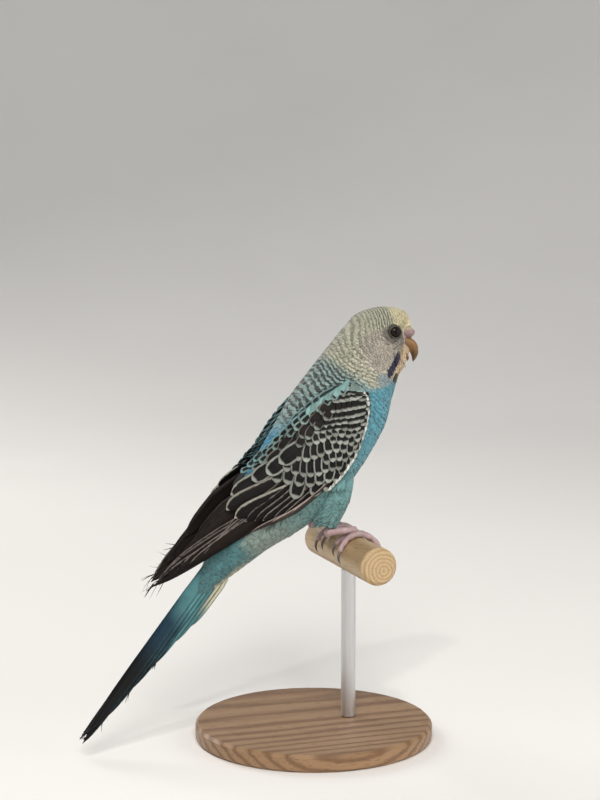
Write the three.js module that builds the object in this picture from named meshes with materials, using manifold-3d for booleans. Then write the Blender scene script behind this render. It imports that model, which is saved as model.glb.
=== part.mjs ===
// A budgerigar, life size, gripping a plain round perch on a display stand.
// Millimetres, +Z up, +X the way the bird faces, +Y its left. The origin is the middle of the base's underside.
// The trunk, wings and tail are worked out in a body frame: "along" runs up the spine towards the crown,
// "height" towards the back, and "side" towards the left wing.
import * as THREE from "three";
import { mergeVertices } from "three/addons/utils/BufferGeometryUtils.js";
import Module from "manifold-3d";

const wasm = await Module();
wasm.setup();

// Driving dimensions
const GAP = 0.3;
const PITCH = THREE.MathUtils.degToRad(50);
const BODY_ORIGIN = new THREE.Vector3(6, 0, 95);

const BASE_RADIUS = 42;
const BASE_THICKNESS = 6;
const ROD_RADIUS = 2.6;
const PERCH_RADIUS = 6.5;
const PERCH_LENGTH = 62;
const PERCH_CENTRE = new THREE.Vector3(13, 0, 65.6);

// Trunk stations: along, centre height, half depth, half width
const TRUNK = [
  [-66, 10.8, 1.6, 2.2],
  [-56, 10.7, 4.2, 4.8],
  [-46, 10.7, 7, 7.6],
  [-36, 10.5, 9.8, 10.2],
  [-24, 9.2, 13.4, 12.9],
  [-12, 8.3, 16.2, 14.4],
  [0, 9, 17.4, 15],
  [12, 10.3, 18, 15.3],
  [24, 11.5, 17, 15],
  [34, 13.7, 14.8, 12.6],
  [41, 15, 13.4, 10.9],
  [47, 15.2, 12.9, 10.2],
];
const DOME_START = 47;
const DOME_LENGTH = 13.4;
const DOME_CENTRE = 14.2;

const HEAD_CUT = 39;
const NECK_CUT = 29;
const RUMP_CUT = -24;
const TAIL_CUT = -47;

// Wing: behind the trunk it follows a cone that closes above the tail
const CONE_APEX = -80;
const CONE_RIDGE = 28;
const CONE_DEPTH = 0.3;
const CONE_WIDTH = 0.26;
const CONE_BLEND = [-14, -34];
// Wing edge stations: along, dorsal edge angle, ventral edge angle, in degrees up from the flank
const WING_EDGES = [
  [-72, 45, -12],
  [-50, 66, -20],
  [-30, 72, -16],
  [-15, 68, -20],
  [0, 56, -26],
  [14, 44, -24],
  [28, 30, -8],
];
const ARM_FRONT = 27.5;
const ARM_REAR = -26;
const ARM_THICKNESS = 2.6;

const VANE_THICKNESS = 0.5;
const VANE_STEP = 0.85;

const EYE_RADIUS = 2.5;
const EYE_ALONG = 51;
const EYE_HEIGHT = 15.4;
const EYE_SINK = 1.95;
const LID_RADIUS = 2.15;
const LID_THICKNESS = 0.42;

const LEG_SIDE = 9;
const HEEL = new THREE.Vector3(1.8, LEG_SIDE, 74.6);
const SHANK_RADIUS = 1.25;
const TOE_RADIUS = 1.1;
const CLAW_LENGTH = 4.2;

const COLOURS = {
  crown: 0xe6e2c0,
  neck: 0xbfc3b0,
  blue: 0x5fb4c4,
  paleBlue: 0x7cc3cc,
  wing: 0x3c3c3c,
  tail: 0x1f4c66,
  horn: 0xc98a3c,
  cere: 0xb58a94,
  eye: 0x120d0c,
  leg: 0xc7a3a6,
  claw: 0x4a4040,
  stand: 0xd9d6d0,
  perch: 0xb08a5e,
};

// General helpers

const mix = THREE.MathUtils.lerp;
const ease = THREE.MathUtils.smoothstep;
const radians = THREE.MathUtils.degToRad;

// A point of the body frame in the part's frame.
function bodyPoint(along, height, side = 0) {
  return new THREE.Vector3(along, side, height).applyAxisAngle(new THREE.Vector3(0, 1, 0), -PITCH).add(BODY_ORIGIN);
}

// Reads a table of stations, sorted by its first column, with a smooth cubic through the other columns.
function readStations(table, at) {
  const last = table.length - 1;
  const found = table.findIndex((row) => row[0] >= at);
  const k = found < 0 ? last : Math.max(found, 1);
  const [before, from, to, after] = [table[Math.max(k - 2, 0)], table[k - 1], table[k], table[Math.min(k + 1, last)]];
  const width = to[0] - from[0];
  const u = THREE.MathUtils.clamp((at - from[0]) / width, 0, 1);
  return from.slice(1).map((value, column) => {
    const c = column + 1;
    const slopeFrom = ((to[c] - before[c]) / (to[0] - before[0])) * width;
    const slopeTo = ((after[c] - from[c]) / (after[0] - from[0])) * width;
    const rise = to[c] - value;
    return value + u * (slopeFrom + u * (3 * rise - 2 * slopeFrom - slopeTo + u * (slopeFrom + slopeTo - 2 * rise)));
  });
}

// A closed surface from a function of u, from end to end, and v, once round. Each end closes on a point.
function closedSurface(rings, sides, pointAt) {
  const positions = [];
  const indices = [];
  for (let i = 1; i < rings; i++)
    for (let j = 0; j < sides; j++) positions.push(...pointAt(i / rings, (j / sides) * 2 * Math.PI).toArray());
  const endAt = [0, 1].map((u) => {
    const middle = new THREE.Vector3();
    for (let j = 0; j < sides; j++) middle.addScaledVector(pointAt(u, (j / sides) * 2 * Math.PI), 1 / sides);
    positions.push(...middle.toArray());
    return positions.length / 3 - 1;
  });
  for (let j = 0; j < sides; j++) {
    const next = (j + 1) % sides;
    indices.push(endAt[0], next, j);
    for (let i = 0; i < rings - 2; i++) {
      const [a, b, c, d] = [i * sides + j, i * sides + next, (i + 1) * sides + j, (i + 1) * sides + next];
      indices.push(a, b, d, a, d, c);
    }
    const lastRing = (rings - 2) * sides;
    indices.push(lastRing + j, lastRing + next, endAt[1]);
  }
  const geometry = new THREE.BufferGeometry();
  geometry.setAttribute("position", new THREE.Float32BufferAttribute(positions, 3));
  geometry.setIndex(indices);
  return geometry;
}

// A closed three.js geometry as a manifold solid with its faces pointing out.
function solidOf(geometry) {
  const bare = geometry.clone();
  bare.deleteAttribute("normal");
  bare.deleteAttribute("uv");
  const merged = mergeVertices(bare, 1e-4);
  const triVerts = new Uint32Array(merged.index.array);
  const mesh = () => new wasm.Mesh({ numProp: 3, vertProperties: merged.attributes.position.array, triVerts });
  const made = new wasm.Manifold(mesh());
  if (made.volume() > 0) return made;
  for (let i = 0; i < triVerts.length; i += 3) [triVerts[i], triVerts[i + 1]] = [triVerts[i + 1], triVerts[i]];
  return new wasm.Manifold(mesh());
}

function geometryOf(solid) {
  const { vertProperties, triVerts } = solid.getMesh();
  const geometry = new THREE.BufferGeometry();
  geometry.setAttribute("position", new THREE.BufferAttribute(vertProperties, 3));
  geometry.setIndex(new THREE.BufferAttribute(triVerts, 1));
  return geometry.toNonIndexed();
}

// The largest closed surface of a solid, filled.
function largestOf(solid) {
  return solid.decompose().reduce((best, piece) => (piece.volume() > best.volume() ? piece : best));
}

function union(solids) {
  return solids.reduce((whole, piece) => whole.add(piece));
}

const part = new THREE.Group();

function addNode(name, solid, colour, roughness = 0.8) {
  const geometry = geometryOf(largestOf(solid));
  geometry.computeVertexNormals();
  const mesh = new THREE.Mesh(geometry, new THREE.MeshStandardMaterial({ color: colour, roughness, metalness: 0 }));
  mesh.name = name;
  part.add(mesh);
}

// Adds a right-hand piece and its mirror image across the bird's middle.
function addPair(name, solid, colour, roughness = 0.8) {
  addNode(name + "_right", solid, colour, roughness);
  const right = part.children.at(-1);
  const left = new THREE.Mesh(right.geometry, right.material);
  left.name = name + "_left";
  left.scale.y = -1;
  part.add(left);
}

// A tube along a curve. sizeAt gives its half width and its half depth at t; the width lies across the bird.
function tubeAlong(curve, sizeAt, rings, sides) {
  const frames = curve.computeFrenetFrames(rings, false);
  return closedSurface(rings, sides, (u, v) => {
    const i = Math.round(u * rings);
    const [width, depth] = sizeAt(u);
    return curve
      .getPoint(u)
      .addScaledVector(frames.normals[i], Math.cos(v) * width)
      .addScaledVector(frames.binormals[i], Math.sin(v) * depth);
  });
}

// Trunk, from the tail coverts to the crown

function trunkSection(along) {
  if (along <= DOME_START) {
    const [centre, depth, width] = readStations(TRUNK, along);
    return { centre, depth, width };
  }
  const [, crownCentre, depth, width] = TRUNK.at(-1);
  const x = Math.min((along - DOME_START) / DOME_LENGTH, 1);
  return {
    centre: mix(crownCentre, DOME_CENTRE, x),
    depth: depth * (1 - x ** 1.5) ** 0.6,
    width: width * (1 - x ** 1.9) ** 0.55,
  };
}

// Rings are spaced evenly as far as the head and crowd together towards the top of the dome.
function trunkAlong(u, grow) {
  const start = TRUNK[0][0] - grow;
  const domeShare = 0.3;
  if (u < 1 - domeShare) return mix(start, DOME_START, u / (1 - domeShare));
  const turn = ((u - 1 + domeShare) / domeShare) * (Math.PI / 2);
  return DOME_START + (DOME_LENGTH + grow) * Math.sin(turn);
}

function trunkSolid(grow = 0) {
  const rings = 36;
  const sides = 26;
  return solidOf(
    closedSurface(rings, sides, (u, v) => {
      const along = trunkAlong(u, grow);
      const inside = THREE.MathUtils.clamp(along, TRUNK[0][0], DOME_START + DOME_LENGTH);
      const { centre, depth, width } = trunkSection(inside);
      return bodyPoint(along, centre + (depth + grow) * Math.sin(v), (width + grow) * Math.cos(v));
    }),
  );
}

// A slab across the body frame's long axis, from one station to another.
function slabBetween(from, to) {
  const size = 200;
  const box = new THREE.BoxGeometry(to - from, size, size);
  box.translate((from + to) / 2, 0, 0);
  box.rotateY(-PITCH);
  box.translate(...BODY_ORIGIN.toArray());
  return solidOf(box);
}

const trunk = trunkSolid();
const trunkWithGap = trunkSolid(GAP);

function trunkBetween(from, to) {
  return trunk.intersect(slabBetween(from + GAP / 2, to - GAP / 2));
}

// Eyes

function eyeCentre() {
  const { width } = trunkSection(EYE_ALONG);
  return bodyPoint(EYE_ALONG, EYE_HEIGHT, EYE_SINK - width);
}

function sphereAt(centre, radius, sides = 16) {
  const sphere = new THREE.SphereGeometry(radius, sides, Math.round(sides / 2));
  sphere.rotateX(Math.PI / 2);
  sphere.translate(centre.x, centre.y, centre.z);
  return solidOf(sphere);
}

function mirrored(solid) {
  const geometry = geometryOf(solid);
  geometry.scale(1, -1, 1);
  return solidOf(geometry);
}

// The bare ring of skin round the eye.
function lidRing() {
  const ring = new THREE.TorusGeometry(LID_RADIUS, LID_THICKNESS, 6, 16);
  ring.rotateX(Math.PI / 2);
  const centre = eyeCentre();
  ring.translate(centre.x, centre.y - EYE_SINK - 0.05, centre.z);
  return solidOf(ring);
}

// Bill and cere

const FACE_ALONG = 54;

// A point given forward and up from where the bill leaves the face.
function facePoint(forward, up, side = 0) {
  const { centre, depth } = trunkSection(FACE_ALONG);
  return bodyPoint(FACE_ALONG, centre - depth).add(new THREE.Vector3(forward, side, up));
}

function upperBill(grow = 0) {
  const ridge = new THREE.QuadraticBezierCurve3(facePoint(-2.2, 1.6), facePoint(2.6, -1.4), facePoint(0.1, -7.6));
  return solidOf(
    tubeAlong(
      ridge,
      (t) => {
        const taper = (1 - t ** 2.4) ** 0.8;
        return [2.9 * taper + grow, 2.3 * taper + grow];
      },
      12,
      12,
    ),
  );
}

function lowerBill() {
  const keel = new THREE.QuadraticBezierCurve3(facePoint(-4, -3.6), facePoint(-1.3, -4.6), facePoint(-1.2, -7.3));
  return solidOf(
    tubeAlong(
      keel,
      (t) => {
        const taper = (1 - t ** 4) ** 0.5;
        return [2.4 * taper, 1.5 * taper];
      },
      8,
      10,
    ),
  );
}

function cere() {
  const lump = new THREE.SphereGeometry(1, 18, 12);
  lump.scale(2.5, 3.5, 2.3);
  const middle = facePoint(-0.5, 3.3);
  lump.translate(middle.x, middle.y, middle.z);
  const nostrils = [-1, 1].map((side) => sphereAt(facePoint(1.55, 3.9, side * 1.45), 0.5, 8));
  return solidOf(lump).subtract(trunkWithGap).subtract(upperBill(GAP)).subtract(union(nostrils));
}

// Wings: a padded arm against the flank, and tiers of vanes rooted in it

function wingSection(along) {
  const { centre, depth, width } = trunkSection(along);
  const reach = Math.max(along - CONE_APEX, 1.5);
  const behind = 1 - ease(along, CONE_BLEND[1], CONE_BLEND[0]);
  const [dorsal, ventral] = readStations(WING_EDGES, along);
  return {
    centre: mix(centre, CONE_RIDGE - CONE_DEPTH * reach, behind),
    depth: mix(depth + GAP, CONE_DEPTH * reach, behind),
    width: mix(width + GAP, CONE_WIDTH * reach, behind),
    dorsal: radians(dorsal),
    ventral: radians(ventral),
  };
}

// A point of the right wing: across runs from its dorsal edge, 0, to its ventral edge, 1. lift is the height over the flank.
function wingPoint(along, across, lift) {
  const { centre, depth, width, dorsal, ventral } = wingSection(along);
  const angle = mix(dorsal, ventral, across);
  return bodyPoint(along, centre + (depth + lift) * Math.sin(angle), -(width + lift) * Math.cos(angle));
}

function wingNormal(along, across) {
  const step = 0.01;
  const alongWing = wingPoint(along + step, across, 0).sub(wingPoint(along - step, across, 0));
  const acrossWing = wingPoint(along, across + step, 0).sub(wingPoint(along, across - step, 0));
  return acrossWing.cross(alongWing).normalize();
}

// The feathered arm: flat against the flank, crowned outside, round in plan.
function armPad() {
  return solidOf(
    closedSurface(18, 12, (u, v) => {
      const turn = (u - 0.5) * Math.PI;
      const middle = (ARM_FRONT + ARM_REAR) / 2;
      const along = middle + ((ARM_FRONT - ARM_REAR) / 2) * Math.sin(turn);
      const plan = Math.cos(turn) ** 0.55;
      const across = 0.5 - 0.5 * plan * Math.cos(v);
      const crown = Math.max(Math.sin(v), 0) ** 0.6;
      return wingPoint(along, across, 0.05 + ARM_THICKNESS * crown * Math.cos(turn) ** 0.7);
    }),
  );
}

// Share of a vane's full half width at each step from root to tip.
const VANE_OUTLINE = [
  [0, 0.6],
  [0.3, 0.95],
  [0.75, 1],
  [0.92, 0.7],
  [1, 0.25],
];

// A flat closed vane from a frame function: s runs from root to tip and the frame has its middle, across and up vectors.
function vaneSolid(width, frameAt, outline = VANE_OUTLINE) {
  const positions = [];
  const indices = [];
  for (const [s, share] of outline) {
    const { middle, across, up } = frameAt(s);
    const half = (width / 2) * share;
    const rise = (VANE_THICKNESS / 2) * (s < 1 ? 1 : 0.5);
    for (const [sideSign, upSign] of [[-1, 1], [1, 1], [1, -1], [-1, -1]])
      positions.push(...middle.clone().addScaledVector(across, half * sideSign).addScaledVector(up, rise * upSign).toArray());
  }
  const corner = (ring, k) => ring * 4 + k;
  for (let ring = 0; ring < outline.length - 1; ring++) {
    // Top and bottom share one diagonal, so a curved vane keeps its thickness.
    for (const [k, m, flip] of [[0, 1, false], [2, 3, true], [1, 2, false], [3, 0, false]]) {
      const [a, b, c, d] = [corner(ring, k), corner(ring, m), corner(ring + 1, m), corner(ring + 1, k)];
      if (flip) indices.push(a, b, d, b, c, d);
      else indices.push(a, b, c, a, c, d);
    }
  }
  const end = outline.length - 1;
  indices.push(corner(0, 0), corner(0, 2), corner(0, 1), corner(0, 0), corner(0, 3), corner(0, 2));
  indices.push(corner(end, 0), corner(end, 1), corner(end, 2), corner(end, 0), corner(end, 2), corner(end, 3));
  const geometry = new THREE.BufferGeometry();
  geometry.setAttribute("position", new THREE.Float32BufferAttribute(positions, 3));
  geometry.setIndex(indices);
  return solidOf(geometry);
}

// A wing vane between two places of the wing, [along, across, lift]. spacing is the distance to its neighbour:
// each vane tilts so that its ventral edge lies one step above the next vane.
function wingVane({ root, tip, width, spacing }) {
  const placeAt = (s) => [mix(root[0], tip[0], s), mix(root[1], tip[1], s), mix(root[2], tip[2], ease(s, 0, 0.6))];
  const step = 0.01;
  return vaneSolid(width, (s) => {
    const [along, across, lift] = placeAt(s);
    const middle = wingPoint(along, across, lift);
    const ahead = wingPoint(...placeAt(s + step));
    const normal = wingNormal(along, across);
    const run = ahead.sub(middle).normalize();
    const ventralwards = run.clone().cross(normal).normalize();
    const tilt = Math.atan2(VANE_STEP, spacing);
    const acrossVane = ventralwards.clone().applyAxisAngle(run, tilt);
    return { middle, across: acrossVane, up: normal.clone().applyAxisAngle(run, tilt) };
  });
}

// Tiers of a wing, from its ventral to its dorsal vane: places are [along, across, lift].
const WING_TIERS = {
  primaries: {
    count: 6,
    width: 6,
    spacing: 1.8,
    root: [[-4, 0.93, 0.9], [-10, 0.6, 1.1]],
    tip: [[-69.5, 0.62, 0.4], [-45, 0.5, 1.5]],
  },
  secondaries: {
    count: 6,
    width: 5.4,
    spacing: 2.7,
    root: [[-2, 0.82, 1.6], [-6, 0.22, 1.5]],
    tip: [[-26, 0.82, 2.9], [-42, 0.3, 2.4]],
  },
  tertials: {
    count: 2,
    width: 6.4,
    spacing: 3,
    root: [[-2, 0.34, 1.6], [-2, 0.18, 1.4]],
    tip: [[-35, 0.34, 3.4], [-26, 0.2, 2.6]],
  },
  greaterCoverts: {
    count: 6,
    width: 5.6,
    spacing: 3.5,
    root: [[4, 0.88, 1.7], [4, 0.18, 1.7]],
    tip: [[-12, 0.9, 3.7], [-17, 0.18, 4]],
  },
  medianCoverts: {
    count: 6,
    width: 5.2,
    spacing: 3.5,
    root: [[12, 0.84, 1.6], [11, 0.18, 1.6]],
    tip: [[-1, 0.9, 3.7], [-5, 0.16, 4]],
  },
};

function wing() {
  const vanes = Object.values(WING_TIERS).flatMap(({ count, width, spacing, root, tip }) =>
    Array.from({ length: count }, (_, i) => {
      const share = i / (count - 1);
      const between = ([from, to]) => from.map((value, k) => mix(value, to[k], share));
      return wingVane({ root: between(root), tip: between(tip), width, spacing });
    }),
  );
  return armPad().add(union(vanes)).subtract(trunkWithGap);
}

// The room the wing takes up, for what lies against it.
function wingEnvelope() {
  return solidOf(
    closedSurface(20, 12, (u, v) => {
      const along = mix(ARM_REAR - 30, ARM_FRONT + 1, u);
      const across = 0.5 - 0.74 * Math.cos(v);
      return wingPoint(along, across, 2.2 + 3 * Math.sin(v));
    }),
  );
}

// Tail: a root inside the coverts, and graduated vanes in pairs, roofed over each other

const TAIL_ROOT = -52;
const TAIL_TIPS = [-126, -116, -105, -94, -84, -74];
const TAIL_VANE_WIDTH = 4.9;
const TAIL_SLOPE = radians(50);
const TAIL_RIDGE = 15.8;
const TAIL_DROOP = 0.045;
// Each pair lies a step under the pair before it and shows this much of its outer edge.
const TAIL_SHOWN = 0.95;

function tailVane(rank, side) {
  const out = [Math.cos(TAIL_SLOPE), -Math.sin(TAIL_SLOPE)];
  const inward = [-Math.sin(TAIL_SLOPE), -Math.cos(TAIL_SLOPE)];
  const width = TAIL_VANE_WIDTH;
  const across = bodyPoint(0, out[1], side * out[0]).sub(bodyPoint(0, 0));
  const placeAt = (s) => {
    const along = mix(TAIL_ROOT, TAIL_TIPS[rank], s);
    const narrowing = mix(1, 0.8, (along - TAIL_ROOT) / (TAIL_TIPS[0] - TAIL_ROOT));
    const outwards = (width / 2 + TAIL_SHOWN * rank) * narrowing;
    const under = VANE_STEP * rank;
    const splay = rank === 0 ? 0.9 * ease(s, 0.75, 1) : 0.35;
    const sideways = 0.1 + splay + outwards * out[0] + under * inward[0] * narrowing;
    const height = TAIL_RIDGE + TAIL_DROOP * (along - TAIL_ROOT) + outwards * out[1] + under * inward[1];
    return bodyPoint(along, height, side * Math.max(sideways, 0.4));
  };
  return vaneSolid(width, (s) => {
    const middle = placeAt(s);
    const run = placeAt(s + 0.01).sub(middle).normalize();
    return { middle, across, up: run.clone().cross(across).normalize() };
  });
}

function tail() {
  const root = trunk.intersect(slabBetween(-200, TAIL_CUT - GAP / 2));
  const vanes = TAIL_TIPS.flatMap((_, rank) => [tailVane(rank, -1), tailVane(rank, 1)]);
  return root.add(union(vanes));
}

// Legs, for the right side

class PerchArc extends THREE.Curve {
  // An arc round the perch, from one angle to another up from +X, drifting sideways.
  constructor({ fromAngle, toAngle, fromSide, toSide, radius }) {
    super();
    Object.assign(this, { fromAngle, toAngle, fromSide, toSide, radius });
  }
  getPoint(t, target = new THREE.Vector3()) {
    const angle = radians(mix(this.fromAngle, this.toAngle, t));
    const reach = this.radius;
    return target.set(
      PERCH_CENTRE.x + reach * Math.cos(angle),
      mix(this.fromSide, this.toSide, t),
      PERCH_CENTRE.z + reach * Math.sin(angle),
    );
  }
}

const right = (v) => new THREE.Vector3(v.x, -v.y, v.z);
const TOE_REACH = PERCH_RADIUS + GAP + TOE_RADIUS;
const FOOT = new THREE.Vector3(PERCH_CENTRE.x, LEG_SIDE, PERCH_CENTRE.z + TOE_REACH + 0.2);

function thigh() {
  const hip = bodyPoint(3, 3.5, -7);
  const heel = right(HEEL).add(new THREE.Vector3(0.2, 0, 0.9));
  const knee = hip.clone().lerp(heel, 0.5).add(new THREE.Vector3(3, -1, 0));
  const line = new THREE.QuadraticBezierCurve3(hip, knee, heel);
  const sizeAt = (t) => {
    const swell = mix(8.2, 2.2, t ** 1.3) * Math.min(1, (1 - t) * 12 + 0.45) * Math.sqrt(Math.min(1, t * 4 + 0.05));
    return [swell * 0.9, swell];
  };
  return solidOf(tubeAlong(line, sizeAt, 12, 14)).subtract(trunkWithGap).subtract(wingEnvelope()).subtract(shank(GAP));
}

function shank(grow = 0) {
  const heel = right(HEEL);
  const line = new THREE.LineCurve3(heel, right(FOOT).add(new THREE.Vector3(-0.6, 0, 1.4)));
  const tube = tubeAlong(line, (t) => [SHANK_RADIUS * mix(1.15, 0.95, t) + grow, SHANK_RADIUS + grow], 5, 10);
  return solidOf(tube).add(sphereAt(heel, SHANK_RADIUS * 1.3 + grow, 10)).subtract(foot(GAP));
}

// Two toes go forward over the perch and two back, as in every parrot.
const TOES = [
  { fromAngle: 96, toAngle: 8, fromSide: -9.8, toSide: -11.5 },
  { fromAngle: 96, toAngle: 24, fromSide: -8.4, toSide: -6.1 },
  { fromAngle: 84, toAngle: 164, fromSide: -9.8, toSide: -12.3 },
  { fromAngle: 84, toAngle: 150, fromSide: -8.4, toSide: -5.9 },
];

function toe(place, grow) {
  const arc = new PerchArc({ ...place, radius: TOE_REACH });
  const sizeAt = (t) => {
    const pads = 1 + 0.08 * Math.cos(t * 6 * Math.PI);
    const size = TOE_RADIUS * mix(1, 0.78, t) * pads * Math.min(1, (1 - t) * 8 + 0.7) + grow;
    return [size, size];
  };
  return solidOf(tubeAlong(arc, sizeAt, 9, 7));
}

function foot(grow = 0) {
  const pad = sphereAt(right(FOOT).add(new THREE.Vector3(0, 0, -0.25)), TOE_RADIUS * 1.25 + grow, 10);
  return union([pad, ...TOES.map((place) => toe(place, grow))]);
}

function claw(place) {
  const turnsOn = Math.sign(place.toAngle - place.fromAngle);
  const angleOver = (length) => THREE.MathUtils.radToDeg(length / TOE_REACH) * turnsOn;
  const arc = new PerchArc({
    fromAngle: place.toAngle + angleOver(GAP),
    toAngle: place.toAngle + angleOver(GAP + CLAW_LENGTH),
    fromSide: place.toSide,
    toSide: place.toSide,
    radius: TOE_REACH,
  });
  const sizeAt = (t) => {
    const size = 0.66 * (1 - t ** 1.5) + 0.12;
    return [size * 0.85, size];
  };
  return solidOf(tubeAlong(arc, sizeAt, 6, 6));
}

// Stand

function standBase() {
  const bevel = 1;
  const profile = [
    [0, 0],
    [BASE_RADIUS - bevel, 0],
    [BASE_RADIUS, bevel],
    [BASE_RADIUS, BASE_THICKNESS - bevel],
    [BASE_RADIUS - bevel, BASE_THICKNESS],
    [0, BASE_THICKNESS],
  ].map(([r, z]) => new THREE.Vector2(r, z));
  return solidOf(new THREE.LatheGeometry(profile, 48).rotateX(Math.PI / 2));
}

function perch(grow = 0) {
  const half = PERCH_LENGTH / 2 + grow;
  const radius = PERCH_RADIUS + grow;
  const bevel = 1.2;
  const profile = [
    [0, -half],
    [radius - bevel, -half],
    [radius, bevel - half],
    [radius, half - bevel],
    [radius - bevel, half],
    [0, half],
  ].map(([r, y]) => new THREE.Vector2(r, y));
  return solidOf(new THREE.LatheGeometry(profile, 28).translate(...PERCH_CENTRE.toArray()));
}

function standRod() {
  const foot = BASE_THICKNESS + GAP;
  const height = PERCH_CENTRE.z - foot;
  const rod = new THREE.CylinderGeometry(ROD_RADIUS, ROD_RADIUS, height, 20).rotateX(Math.PI / 2);
  rod.translate(PERCH_CENTRE.x, 0, foot + height / 2);
  return solidOf(rod).subtract(perch(GAP));
}

// The whole bird on its stand

const sockets = union([sphereAt(eyeCentre(), EYE_RADIUS + GAP), mirrored(sphereAt(eyeCentre(), EYE_RADIUS + GAP))]);
const lids = union([lidRing(), mirrored(lidRing())]);
const head = trunkBetween(HEAD_CUT, 200).add(lids).subtract(sockets);

addNode("head", head, COLOURS.crown);
addNode("neck", trunkBetween(NECK_CUT, HEAD_CUT), COLOURS.neck);
addNode("torso", trunkBetween(RUMP_CUT, NECK_CUT), COLOURS.blue);
addNode("rump", trunkBetween(TAIL_CUT, RUMP_CUT), COLOURS.paleBlue);
addNode("tail", tail(), COLOURS.tail);
addNode("cere", cere(), COLOURS.cere, 0.6);
addNode("beak_upper", upperBill().subtract(trunkWithGap), COLOURS.horn, 0.4);
addNode("beak_lower", lowerBill().subtract(trunkWithGap).subtract(upperBill(GAP)), COLOURS.horn, 0.4);
addPair("eye", sphereAt(eyeCentre(), EYE_RADIUS), COLOURS.eye, 0.1);
addPair("wing", wing(), COLOURS.wing);
addPair("thigh", thigh(), COLOURS.paleBlue);
addPair("shank", shank(), COLOURS.leg, 0.6);
addPair("foot", foot(), COLOURS.leg, 0.6);
TOES.forEach((place, i) => addPair("claw" + (i + 1), claw(place), COLOURS.claw, 0.4));
addNode("stand_base", standBase(), COLOURS.stand, 0.5);
addNode("stand_rod", standRod(), COLOURS.stand, 0.5);
addNode("stand_perch", perch(), COLOURS.perch, 0.7);

export default part;
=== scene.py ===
"""A budgerigar gripping a plain round perch on a display stand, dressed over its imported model.

Shapes are worked out in millimetres in the part's own frame and written to the meshes in metres.
The trunk, wings and tail follow a body frame: "along" runs up the spine towards the crown, "height"
towards the back, and "side" towards the left wing.
"""

import math

import bpy
import numpy as np
from mathutils import Matrix


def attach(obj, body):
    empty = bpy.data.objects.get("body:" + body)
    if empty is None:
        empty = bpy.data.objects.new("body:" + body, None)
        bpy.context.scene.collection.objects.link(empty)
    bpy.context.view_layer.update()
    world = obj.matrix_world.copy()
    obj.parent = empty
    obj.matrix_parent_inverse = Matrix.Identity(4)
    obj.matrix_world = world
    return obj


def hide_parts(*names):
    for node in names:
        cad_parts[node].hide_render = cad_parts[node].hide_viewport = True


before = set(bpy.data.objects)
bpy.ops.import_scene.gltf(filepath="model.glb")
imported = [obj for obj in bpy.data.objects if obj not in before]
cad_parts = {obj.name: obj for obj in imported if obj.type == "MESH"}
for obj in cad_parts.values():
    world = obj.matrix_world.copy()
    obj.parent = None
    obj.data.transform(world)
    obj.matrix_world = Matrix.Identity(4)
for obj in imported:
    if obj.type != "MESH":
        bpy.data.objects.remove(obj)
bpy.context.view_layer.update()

# Showing the model: a long lens level with the bird's right side, looking slightly down at it.
# The model stands on a pale floor that curves up all round, so that no horizon shows, and large
# soft lamps stand to its left, right and behind it; a small one gives the eyes their catch light.
#
# The body frame: where it starts, how far the spine is pitched up, and its three directions.
MM = 0.001
PITCH = math.radians(50)
BODY_ORIGIN = np.array([6.0, 0.0, 95.0])
SPINE = np.array([math.cos(PITCH), 0.0, math.sin(PITCH)])
BACK = np.array([-math.sin(PITCH), 0.0, math.cos(PITCH)])
SIDE = np.array([0.0, 1.0, 0.0])


def mesh_of(name, points, faces):
    """A smooth mesh object from points in millimetres, (n, 3), and a list of face arrays, (m, corners)."""
    mesh = bpy.data.meshes.new(name)
    sizes = np.concatenate([np.full(len(f), f.shape[1]) for f in faces])
    corners = np.concatenate([f.ravel() for f in faces])
    mesh.vertices.add(len(points))
    mesh.vertices.foreach_set("co", (np.asarray(points) * MM).astype(np.float32).ravel())
    mesh.loops.add(len(corners))
    mesh.loops.foreach_set("vertex_index", corners.astype(np.int32))
    mesh.polygons.add(len(sizes))
    mesh.polygons.foreach_set("loop_start", np.concatenate([[0], np.cumsum(sizes)[:-1]]).astype(np.int32))
    mesh.polygons.foreach_set("use_smooth", np.ones(len(sizes), bool))
    mesh.update(calc_edges=True)
    piece = bpy.data.objects.new(name, mesh)
    bpy.context.scene.collection.objects.link(piece)
    return piece


def net(rows, columns, closed=True):
    """The four-cornered faces of a grid of points, row by row; closed joins its last column to its first."""
    i = np.arange(rows - 1)[:, None] * columns
    j = np.arange(columns if closed else columns - 1)[None, :]
    k = (j + 1) % columns
    return np.stack([i + j, i + k, i + columns + k, i + columns + j], -1).reshape(-1, 4)


def around(count):
    """Directions evenly spread round a ring, from 0 to just short of a whole turn."""
    return np.linspace(0, 2 * math.pi, count, endpoint=False)


def three(first, second, third):
    """Three values at every point, as one row for each point."""
    return np.stack(np.broadcast_arrays(first, second, third), -1).reshape(-1, 3)


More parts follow.
